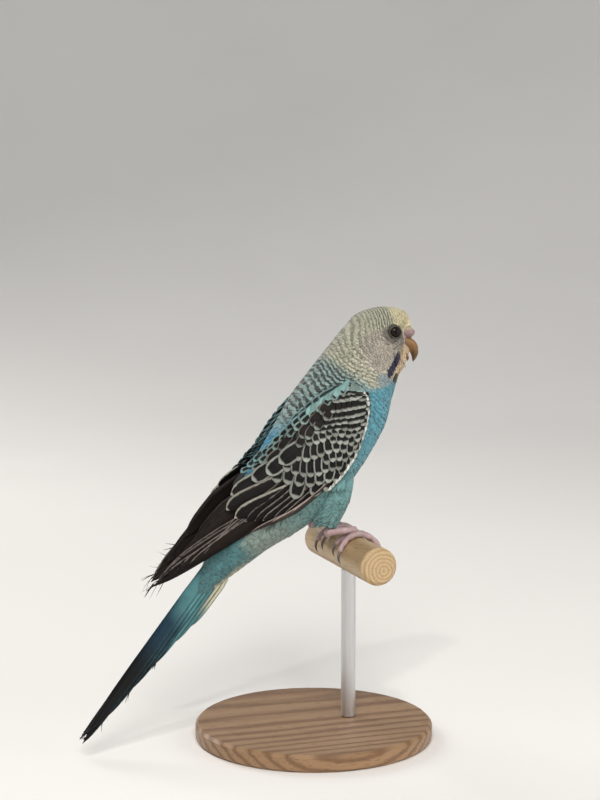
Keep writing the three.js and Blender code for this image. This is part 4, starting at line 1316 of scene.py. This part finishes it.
def thigh_surface(down, turned):
    """The right thigh again, with the way down it in millimetres."""
    return thigh_point(down / THIGH_LENGTH, turned)


def thigh_spacing(down):
    """Millimetres from row to row, closer towards the heel."""
    return np.interp(down, [0, 16, 25], [1.5, 1.2, 0.8])


rng = np.random.default_rng(41)
for name, sign in (("right", 1), ("left", -1)):
    u, v = row_seeds(thigh_surface, 2.4, 22.0, thigh_spacing, (0.0, 2 * math.pi), rng)
    root, tu, tv, outward, second = surface_frame(thigh_surface, u, v, 0.1, 0.05)
    run = unit(
        unit(tu) + np.cross(outward, tu) * rng.normal(0, 0.12, len(u))[:, None] + np.array([-0.25, 0, 0])
    )
    run = unit(run - np.sum(run * outward, -1, keepdims=True) * outward)
    spacing = np.interp(u, [0, 16, 25], [1.5, 1.25, 0.9])
    along, height, side = in_body(root)
    centre, depth, wide = trunk_section(along)
    # Only what stands clear of the trunk is feathered, a little further out in front and near the hip.
    clear_of = mix(1.04 + 0.25 * (1 - smooth(u, 5, 9)), 0.98, smooth(outward[:, 0], 0.4, -0.2))
    chosen = oval(height, side, (centre, 0.0), (depth, wide)) > clear_of
    loose = smooth(-outward[:, 0] - 0.3 * outward[:, 1], -0.3, 0.7) * smooth(u, 6, 18)
    length = spacing * (3.0 + 1.6 * loose) * rng.uniform(0.85, 1.15, len(u))
    width = spacing * 1.7 * rng.uniform(0.9, 1.1, len(u))
    run = unit(run - loose[:, None] * np.array([0.75, 0, 0]))
    high = mix(-0.6, 0.1, smooth(u, 4, 12)) + 0.5 * loose * rng.uniform(0.5, 1.3, len(u))
    root, run, length = root[chosen], run[chosen], length[chosen]
    piece, points, x, y = small_feathers(
        "thigh_feathers_" + name, root, (tu[chosen], tv[chosen]), outward[chosen],
        [part[chosen] for part in second],
        run, length, width[chosen], np.full(len(root), -0.9), high[chosen], rng, ragged=0.22,
    )
    if sign < 0:
        co = mirrored(points.reshape(-1, 3))
        piece.data.vertices.foreach_set("co", (co * MM).astype(np.float32).ravel())
        piece.data.flip_normals()
        points, root, run = mirrored(points), mirrored(root), mirrored(run)
    dress(piece, points, x, y, root, run, length, rng)

# Eyes: a wet dark ball on each side, most of it hidden, with a nearly black pupil in a dark brown iris. The
# bare lids make a dark grey ring round it, grained with tiny bumps; the upper lid lies over the ball.


EYE_RADIUS, EYE_ROWS, EYE_SIDES = 2.5, 40, 48


def eyeball(sign):
    """A ball whose front bulges as a cornea: the radius grows by 0.12 times the cosine of the way off its
    axis to the power 12."""
    off, turned = grid(np.linspace(0.02, math.pi - 0.02, EYE_ROWS), around(EYE_SIDES))
    size = EYE_RADIUS + 0.12 * np.maximum(np.cos(off), 0) ** 12
    ball = np.stack(
        [size * np.sin(off) * np.cos(turned), size * np.cos(off), size * np.sin(off) * np.sin(turned)], -1
    )
    faces = closed_ends(EYE_ROWS, EYE_SIDES)
    points = (eye_place(sign) + ball * [1, sign, 1]).reshape(-1, 3)
    return points, faces if sign > 0 else turned_over(faces), three(size * np.sin(off), turned, off)


def iris_nodes(wire):
    """Rings round the pupil: black, dark brown with fine spokes, then black towards the lids."""
    ring = wire.stored("barb")
    place = wire.place()
    spokes = wire.noise(place, 2400, 2.0)
    iris = ring.between(0.95, 1.05) * (1 - ring.between(1.65, 1.85))
    brown = spokes.between(0.3, 0.7).blend((0.010, 0.006, 0.004, 1), (0.022, 0.013, 0.008, 1))
    black = (0.0022, 0.002, 0.0022, 1)
    return {"Base Color": iris.blend(black, brown), "Roughness": 0.02 + spokes * 0.02}


eye_glass = finish("eye", iris_nodes, IOR=1.34, Specular_IOR_Level=0.26)


def side_of_head(forward, up, sign):
    """The place of the trunk's side surface that is forward and up of the eye, seen from the side."""
    centre_eye = eye_place(sign)
    at = np.stack([centre_eye[0] + forward, np.zeros_like(forward), centre_eye[2] + up], -1)
    along, height, _ = in_body(at)
    centre, depth, width = trunk_section(along)
    return at + (
        sign * width * np.sqrt(np.clip(1 - ((height - centre) / depth) ** 2, 0.02, 1))
    )[..., None] * SIDE


LID_SIDES = 96


def lid_ring(sign):
    """A closed ring of seven lines round the eye. From the outside in they leave the skin, crest over it and
    turn in on the ball; the corners in front and behind are drawn out."""
    turned = around(LID_SIDES)[None, :]
    radius = np.array([2.55, 2.40, 2.22, 2.02, 1.82, 1.74, 2.3])[:, None]
    over = np.array([-0.55, 0.02, 0.26, 0.24, 0.0, 0.0, -1.4])[:, None]
    corner = 1 + 0.10 * np.cos(turned) ** 8
    closing = np.array([0, 0, 0.02, 0.06, 0.12, 0.14, 0])[:, None]
    lidded = np.maximum(np.sin(turned), 0) ** 0.7 + 0.35 * np.maximum(-np.sin(turned), 0)
    forward, up = radius * corner * np.cos(turned), radius * (1 - closing * lidded) * np.sin(turned)
    bumps, shift = np.array([0, 0.5, 1, 1, 0.4, 0, 0])[:, None], np.array([0, 1, 2, 3.5, 5, 0, 0])[:, None]
    grain = 0.05 * bumps * np.cos(26 * turned + shift)
    on_head = side_of_head(forward, up, sign)
    ball_out = np.sqrt(np.clip(EYE_RADIUS**2 - forward**2 - up**2, 0.05, None))
    on_ball = eye_place(sign)[1] * sign + ball_out
    out = sign * on_head[..., 1] + over + grain
    lines = len(radius)
    row = np.arange(lines)[:, None]
    out = np.where(row == 4, np.minimum(out, on_ball + 0.22), np.where(row == 5, on_ball - 0.25, out))
    i = np.arange(LID_SIDES)
    after, last = (i + 1) % LID_SIDES, (lines - 1) * LID_SIDES
    faces = [net(lines, LID_SIDES), np.stack([i + last, after + last, after, i], -1)]
    points = three(on_head[..., 0], sign * out, on_head[..., 2])
    return points, turned_over(faces) if sign > 0 else faces, three(radius, turned, 0.0)


def lid_nodes(wire):
    """Dark grey skin, warmer outside, darker on the edge against the ball, with a fine grain."""
    ring = wire.stored("barb")
    place = wire.place()
    grain = wire.node("ShaderNodeTexVoronoi", None, {"Vector": place, "Scale": 4200})
    cloud = wire.noise(place, 900, 2.0)
    skin_colour = cloud.between(0.35, 0.65).blend((0.042, 0.037, 0.033, 1), (0.072, 0.064, 0.057, 1))
    edge = 1 - ring.between(1.78, 2.1)
    colour = edge.blend(skin_colour, (0.014, 0.012, 0.011, 1))
    return {"Base Color": colour, "Roughness": 0.52 + cloud * 0.2, "height": grain}


lid_skin = finish("lids", lid_nodes, bump=(0.5, 0.00005), Specular_IOR_Level=0.25)

for sign, name in ((-1, "right"), (1, "left")):
    points, faces, ring = eyeball(sign)
    ball = mesh_of("eyeball_" + name, points, faces)
    give(ball, barb=ring)
    ball.data.materials.append(eye_glass)
    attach(ball, "root")
    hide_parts("eye_" + name)
    points, faces, ring = lid_ring(sign)
    lid = mesh_of("lids_" + name, points, faces)
    give(lid, barb=ring)
    lid.data.materials.append(lid_skin)
    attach(lid, "root")

# Bill and cere: horn, grown in layers from the face. The upper bill hooks down over the small lower one, and
# the cere is a soft waxy swelling in two lobes over its root, each with a nostril.


GROWTH = 9.0  # the finish counts so many parts from the root of a bill or claw to its tip


def hook(start, knee, tip, count, sides, size, shape):
    """Rings carried along a quadratic curve in the middle plane: at t the ring has the half width and half
    depth size(t), and shape bends it."""
    t = np.linspace(0, 1, count)[:, None]
    turned = around(sides)[None, :]
    line = (1 - t) ** 2 * start + 2 * t * (1 - t) * knee + t**2 * tip
    run = unit(2 * (1 - t) * (knee - start) + 2 * t * (tip - knee))
    front = np.cross(SIDE, run)
    across, out = shape(t, turned, *size(t))
    points = line[:, None] + across[..., None] * SIDE + out[..., None] * front[:, None]
    where = three(np.cos(turned), GROWTH * t, np.sin(turned))
    return points.reshape(-1, 3), turned_over(closed_ends(count, sides)), where


def upper_shape(t, turned, wide, deep):
    """An ellipse drawn in to a ridge in front, flat behind, with a notch in its cutting edge past the middle,
    and growth lines across it."""
    ridge = np.maximum(np.sin(turned), 0)
    notch = 0.16 * np.exp(-(((t - 0.62) / 0.07) ** 2)) * np.maximum(-np.sin(turned), 0)
    lines = 1 + 0.008 * np.sin(t * 90)
    behind = np.where(np.sin(turned) < 0, 0.8 - notch, 1.0)
    return wide * np.cos(turned) * (1 - 0.28 * ridge**2) * lines, deep * np.sin(turned) * behind * lines


def lower_shape(t, turned, wide, deep):
    """A scoop: an ellipse whose inner side is half as deep."""
    return wide * np.cos(turned), deep * np.sin(turned) * np.where(np.sin(turned) < 0, 0.55, 1.0)


def horn_nodes(wire):
    """Ochre horn, greyer and darker towards the tip and the cutting edge, in bands across the growth, with
    flaking layers."""
    where = wire.stored("barb")
    place = wire.place()
    cloud = wire.noise(place, 260, 3.0)
    layers = (where.other(1) * 2.6 + cloud * 1.6).wave() * 0.5 + 0.5
    tip = (where.other(1) + cloud * 1.4).between(4.6, 8.2)
    base = (where.other(1) + cloud * 0.8).between(0.6, 2.6)
    colour = base.blend((0.17, 0.095, 0.058, 1), (0.215, 0.100, 0.024, 1))
    colour = tip.blend(colour, (0.095, 0.050, 0.018, 1))
    colour = (layers.between(0.2, 0.9) * 0.16).blend(colour, (0.14, 0.07, 0.024, 1))
    return {
        "Base Color": colour, "Roughness": 0.26 + layers * 0.12 + cloud * 0.08, "height": layers + cloud * 0.6
    }


horn = finish(
    "bill horn", horn_nodes, bump=(0.3, 0.00006),
    Subsurface_Weight=0.1, Subsurface_Scale=0.001, Coat_Weight=0.15, Coat_Roughness=0.25,
)


def upper_size(t):
    """Half width 3.5 and half depth 2.5 mm at the face, closing at the tip as powers of t."""
    return 3.5 * (1 - 0.995 * t**1.9) ** 0.85, 2.5 * (1 - 0.995 * t**2.4) ** 0.8


def lower_size(t):
    """Half width 2.35 and half depth 1.45 mm, with a blunt end."""
    return 2.35 * (1 - 0.99 * t**4) ** 0.5, 1.45 * (1 - 0.99 * t**4) ** 0.5


upper_line = face_point(-5.0, 1.0), face_point(2.9, -0.6), face_point(0.2, -7.0)
lower_line = face_point(-4.4, -3.4), face_point(-2.2, -4.3), face_point(-2.1, -6.6)
for name, node, (points, faces, where) in (
    ("bill_upper", "beak_upper", hook(*upper_line, 44, 40, upper_size, upper_shape)),
    ("bill_lower", "beak_lower", hook(*lower_line, 30, 36, lower_size, lower_shape)),
):
    piece = mesh_of(name, points, faces)
    give(piece, barb=where)
    piece.data.materials.append(horn)
    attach(piece, "root")
    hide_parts(node)

CERE_RADII, CERE_ROWS, CERE_SIDES = np.array([3.3, 3.85, 2.1]), 60, 72


def cere_lump():
    """An ellipsoid parted by a groove down its middle, with a round nostril sunk in each lobe that a low rim
    goes round."""
    off, turned = grid(np.linspace(0.03, math.pi - 0.03, CERE_ROWS), around(CERE_SIDES))
    ball = np.stack([np.sin(off) * np.cos(turned), -np.cos(off), np.sin(off) * np.sin(turned)], -1)
    points = ball * CERE_RADII
    groove = np.exp(-((points[..., 1] / 0.42) ** 2)) * 0.22
    nostril = np.stack(np.broadcast_arrays(2.3, np.sign(points[..., 1]) * 1.9, 1.0), -1)
    to_nostril = np.linalg.norm(points - nostril, axis=-1)
    rim = 0.10 * np.exp(-(((to_nostril - 0.78) / 0.2) ** 2))
    sunk = groove + (0.75 * (1 - smooth(to_nostril, 0.28, 0.62)) - rim)
    points = points * (1 - sunk[..., None] / np.linalg.norm(points, axis=-1, keepdims=True))
    where = three(to_nostril, points[..., 1], points[..., 2])
    return (cere_middle + points).reshape(-1, 3), turned_over(closed_ends(CERE_ROWS, CERE_SIDES)), where


def cere_nodes(wire):
    """Lilac pink wax, paler round the nostrils and creamy where it meets the forehead, with a pebbled grain.
    Inside the nostrils it is painted near black, as painted shade of deep holes."""
    where = wire.stored("barb")
    place = wire.place()
    cloud = wire.noise(place, 500, 3.0)
    colour = cloud.between(0.35, 0.65).blend((0.22, 0.145, 0.15, 1), (0.29, 0.20, 0.20, 1))
    pale = (1 - where.between(0.7, 1.4)) * 0.5
    colour = pale.blend(colour, (0.34, 0.26, 0.25, 1))
    colour = (where.other(2) + cloud).between(1.1, 2.6).blend(colour, (0.47, 0.40, 0.28, 1))
    # Painted shade: the shallow nostril dimples are coloured near black, as deep holes would look in shade.
    colour = (1 - where.between(0.25, 0.5)).blend(colour, (0.06, 0.03, 0.028, 1))
    return {"Base Color": colour, "Roughness": 0.36 + cloud * 0.2, "height": cloud}


wax = finish("cere", cere_nodes, bump=(0.4, 0.0001), Subsurface_Weight=0.2, Subsurface_Scale=0.0015)
points, faces, where = cere_lump()
lump = mesh_of("cere_wax", points, faces)
give(lump, barb=where)
lump.data.materials.append(wax)
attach(lump, "root")
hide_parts("cere")

# Legs and feet: bare skin in small overlapping scales, over the perch on four toes, two in front and two
# behind. Each toe has soft pads underneath and ends in a thin curved claw.
PERCH_CENTRE = np.array([13.0, 0.0, 65.6])
TOE_REACH, TOE_RADIUS, TOE_SCALES, SHANK_SCALES = 7.9, 1.1, 15, 12
CLAW_ROWS, CLAW_SIDES = 26, 16
# Each toe: the angles round the perch where it starts and ends, and how far aside it is at both.
TOES = np.array([[96, 8, 9.8, 11.5], [96, 24, 8.4, 6.1], [84, 164, 9.8, 12.3], [84, 150, 8.4, 5.9]])


def over_perch(angle, side, reach):
    """A place off the perch's middle: reach away from it at an angle from straight ahead up."""
    angle, side, reach = np.broadcast_arrays(np.radians(angle), side, reach)
    return PERCH_CENTRE + np.stack([reach * np.cos(angle), side, reach * np.sin(angle)], -1)


def tube(line, run, outward, wide, deep, under):
    """Rings of half width wide and height deep outwards, under inwards, carried along a line."""
    turned = around(wide.shape[1])[None, :]
    aside = unit(np.cross(outward, run))
    across, up = wide * np.cos(turned), np.where(np.sin(turned) > 0, deep, under) * np.sin(turned)
    points = line[:, None] + across[..., None] * aside[:, None] + up[..., None] * outward[:, None]
    return points.reshape(-1, 3), closed_ends(*wide.shape)


def scaled(t, turned, scales, height):
    """Overlapping scales across the front: each rises slowly and drops at its end."""
    saw = (t * scales) % 1.0
    return 1 + height * (saw**1.5 - 0.4) * smooth(np.sin(turned), -0.2, 0.5)


def toe_shape(place):
    """A toe: rings along its arc, thinner to the end, with a pad under each joint, pressed to the perch."""
    from_angle, to_angle, from_side, to_side = place
    t = np.linspace(0, 1, 64)
    turned = around(28)[None, :]
    angle, side = mix(from_angle, to_angle, t), mix(from_side, to_side, t)
    line = over_perch(angle, side, TOE_REACH)
    run = unit(np.gradient(line, axis=0))
    outward = unit(line - PERCH_CENTRE - side[:, None] * SIDE)
    joints, blunt = np.cos(t * 6 * math.pi), np.minimum(1, np.sqrt(np.maximum((1 - t) * 14, 0.02)))
    size = TOE_RADIUS * mix(1.0, 0.76, t) * (1 + 0.08 * joints) * blunt
    size = size[:, None] * scaled(t[:, None], turned, TOE_SCALES, 0.10)
    pads = size * (1 + 0.10 * joints[:, None])
    points, faces = tube(line, run, outward, size * 0.95, size, np.minimum(pads + 0.1, 1.33))
    return points, faces, three(np.cos(turned), TOE_SCALES * t[:, None], np.sin(turned))


def claw_shape(place):
    """A claw: horn that goes on from the toe, curls in towards the perch and narrows as 1 - t to the power
    1.5."""
    from_angle, to_angle, _, side = place
    t = np.linspace(0, 1, CLAW_ROWS)
    on = np.sign(to_angle - from_angle)
    angle = to_angle + on * np.degrees((-0.3 + 4.6 * t) / TOE_REACH)
    line = over_perch(angle, np.full(CLAW_ROWS, side), TOE_REACH + 0.25 * np.sin(t * math.pi) - 0.35 * t**3)
    run = unit(np.gradient(line, axis=0))
    outward = unit(np.cross(run, SIDE) * -on)
    size = np.repeat((0.62 * (1 - t**1.5) + 0.05)[:, None], CLAW_SIDES, 1)
    points, faces = tube(line, run, outward, size * 0.8, size, size * 0.85)
    turned = around(CLAW_SIDES)[None, :]
    return points, faces, three(np.cos(turned), GROWTH * t[:, None], np.sin(turned))


def scale_nodes(wire):
    """Lilac pink skin, greyer in the joints between scales, a little whiter on each scale's edge."""
    where = wire.stored("barb")
    place = wire.place()
    cloud = wire.noise(place, 350, 3.0)
    cells = wire.node("ShaderNodeTexVoronoi", None, {"Vector": place, "Scale": 1700})
    part = wire.sum("FRACT", where.other(1))
    joint = (1 - part.between(0.0, 0.16)) * where.other(2).between(-0.3, 0.4)
    colour = cloud.between(0.3, 0.7).blend((0.33, 0.225, 0.23, 1), (0.43, 0.315, 0.325, 1))
    colour = (part.between(0.6, 1.0) * 0.35).blend(colour, (0.60, 0.48, 0.46, 1))
    colour = (joint * 0.6).blend(colour, (0.20, 0.12, 0.12, 1))
    return {"Base Color": colour, "Roughness": 0.40 + cloud * 0.18, "height": cells + part * 0.6}


leg_skin = finish(
    "scaled skin", scale_nodes, bump=(0.35, 0.00008), Subsurface_Weight=0.2, Subsurface_Scale=0.0015
)


def claw_nodes(wire):
    """Grey brown horn, darker to the tip, streaked along."""
    where = wire.stored("barb")
    place = wire.place()
    streaks = wire.noise(place, 1300, 2.0)
    colour = (
        (where.other(1) + streaks * 2.0).between(0.5, 7.0).blend(
            (0.20, 0.155, 0.14, 1), (0.045, 0.036, 0.034, 1)
        )
    )
    return {"Base Color": colour, "Roughness": 0.30 + streaks * 0.15, "height": streaks}


claw_horn = finish("claw horn", claw_nodes, bump=(0.2, 0.00005), Coat_Weight=0.2, Coat_Roughness=0.2)


def joined(parts):
    """Several shapes, each (points, faces, where), as one."""
    points, faces, where = zip(*parts)
    starts = np.cumsum([0] + [len(some) for some in points])
    moved = [part + start for some, start in zip(faces, starts) for part in some]
    return np.concatenate(points), moved, np.concatenate(where)


def shank_shape():
    """The shank from heel to toes, and the swollen heel joint over it."""
    heel, foot_top = np.array([1.8, 9.0, 74.6]), over_perch(90.0, 9.0, TOE_REACH + 0.2) + [-0.6, 0, 1.2]
    t = np.linspace(-0.10, 1.06, 60)
    turned = around(32)[None, :]
    line = heel + (foot_top - heel) * t[:, None]
    run = np.broadcast_to(unit(foot_top - heel), line.shape)
    outward = unit(np.cross(run, SIDE))
    outward = outward * np.sign(outward[:, 2:])
    size = 1.25 * mix(1.1, 0.95, t) * (1 + 0.28 * np.exp(-((t / 0.12) ** 2)) + 0.12 * smooth(t, 0.85, 1.05))
    size = size * np.sqrt(np.clip(np.minimum((t + 0.105) * 9, (1.065 - t) * 12), 0.01, 1))
    size = size[:, None] * scaled(t[:, None], turned, SHANK_SCALES, 0.08)
    points, faces = tube(line, run, outward, size, size, size)
    return points, faces, three(np.cos(turned), SHANK_SCALES * t[:, None], np.sin(turned))


def ball_of_foot():
    """An ellipsoid on top of the perch, where shank and toes meet."""
    rows, sides = 20, 32
    off, turned = grid(np.linspace(0.04, math.pi - 0.04, rows), around(sides))
    ball = np.stack(
        [1.5 * np.sin(off) * np.cos(turned), 1.45 * np.sin(off) * np.sin(turned), 1.3 * np.cos(off)], -1
    )
    points = (over_perch(90.0, 9.05, TOE_REACH + 0.05) + ball).reshape(-1, 3)
    return points, turned_over(closed_ends(rows, sides)), three(np.cos(turned), off * 3, np.sin(turned))


foot = joined([ball_of_foot()] + [toe_shape(place) for place in TOES])
shapes = [
    ("shank_skin_", ["shank_"], shank_shape(), leg_skin, "leg"), ("foot_skin_", ["foot_"], foot, leg_skin, "leg")
]
for number, place in enumerate(TOES, 1):
    shapes.append((f"claw_horn{number}_", [f"claw{number}_"], claw_shape(place), claw_horn, "claw"))
for name in ("left", "right"):
    for title, nodes, (points, faces, where), material, named_slot in shapes:
        if name == "right":
            points, faces = mirrored(points), turned_over(faces)
        piece = mesh_of(title + name, points, faces)
        give(piece, barb=where)
        piece.data.materials.append(material)
        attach(piece, "root")
        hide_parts(*[node + name for node in nodes])

# Stand: a turned wooden base, a drawn steel rod let into it, and a round wooden perch across its top. The
# base is oiled, the perch is sanded and left bare, and the rod is brushed along its length.


def turned_wood_nodes(pale, deep, heart, lengthways, spacing):
    """Growth rings as cylinders round the tree's heart, which lies along an axis: the wave of the distance
    from it, bent a little, with short dark pores."""
    across_grain = tuple(1.0 - part for part in lengthways)
    drawn_out = tuple(1.0 - 0.88 * part for part in lengthways)

    def build(wire):
        def vectors(operation, first, second=None, out=0):
            return wire.node("ShaderNodeVectorMath", {"operation": operation}, {0: first, 1: second}, out)

        place = wire.place()
        bent = vectors("MULTIPLY", place, drawn_out)
        away = vectors(
            "LENGTH", vectors("MULTIPLY", vectors("SUBTRACT", place, heart), across_grain), None, 1
        )
        rings = (away * (1.0 / spacing) + wire.noise(bent, 90, 3.0) * 1.6).wave() * 0.5 + 0.5
        pores = wire.noise(bent, 1500, 2.0).between(0.58, 0.68)
        cloud = wire.noise(bent, 40, 2.0)
        colour = (rings * rings * 0.65 + cloud * 0.35).between(0.1, 0.9).blend((*pale, 1), (*deep, 1))
        colour = (pores * 0.4).blend(colour, (*(0.45 * part for part in deep), 1))
        return {
            "Base Color": colour, "Roughness": 0.42 + rings * 0.1 + pores * 0.2, "height": rings * 0.5 - pores
        }

    return build


def brushed_nodes(wire):
    """Fine lines along the rod in brightness, roughness and height."""
    place = wire.place()
    drawn_out = wire.node("ShaderNodeMapping", None, {"Vector": place, "Scale": (1.0, 1.0, 0.02)})
    lines, smudge = wire.noise(drawn_out, 5200, 2.0), wire.noise(place, 60, 3.0)
    colour = lines.blend((0.50, 0.50, 0.51, 1), (0.70, 0.70, 0.71, 1))
    return {"Base Color": colour, "Roughness": 0.24 + lines * 0.14 + smudge * 0.1, "height": lines}


oak = turned_wood_nodes(
    (0.30, 0.175, 0.085), (0.17, 0.085, 0.036), (0.0, 0.03, -0.06), (1.0, 0.0, 0.0), 0.0034
)
ash = turned_wood_nodes(
    (0.50, 0.36, 0.20), (0.37, 0.245, 0.12), (0.0145, 0.0, 0.0642), (0.0, 1.0, 0.0), 0.0013
)
finishes = {
    "stand_base": finish("oiled wood", oak, bump=(0.25, 0.00012), Coat_Weight=0.2, Coat_Roughness=0.3),
    "stand_rod": finish("brushed steel", brushed_nodes, bump=(0.2, 0.00003), Metallic=1.0),
    "stand_perch": finish("bare wood", ash, bump=(0.35, 0.00012)),
}
for node_name, material in finishes.items():
    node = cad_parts[node_name]
    node.data.materials.clear()
    node.data.materials.append(material)
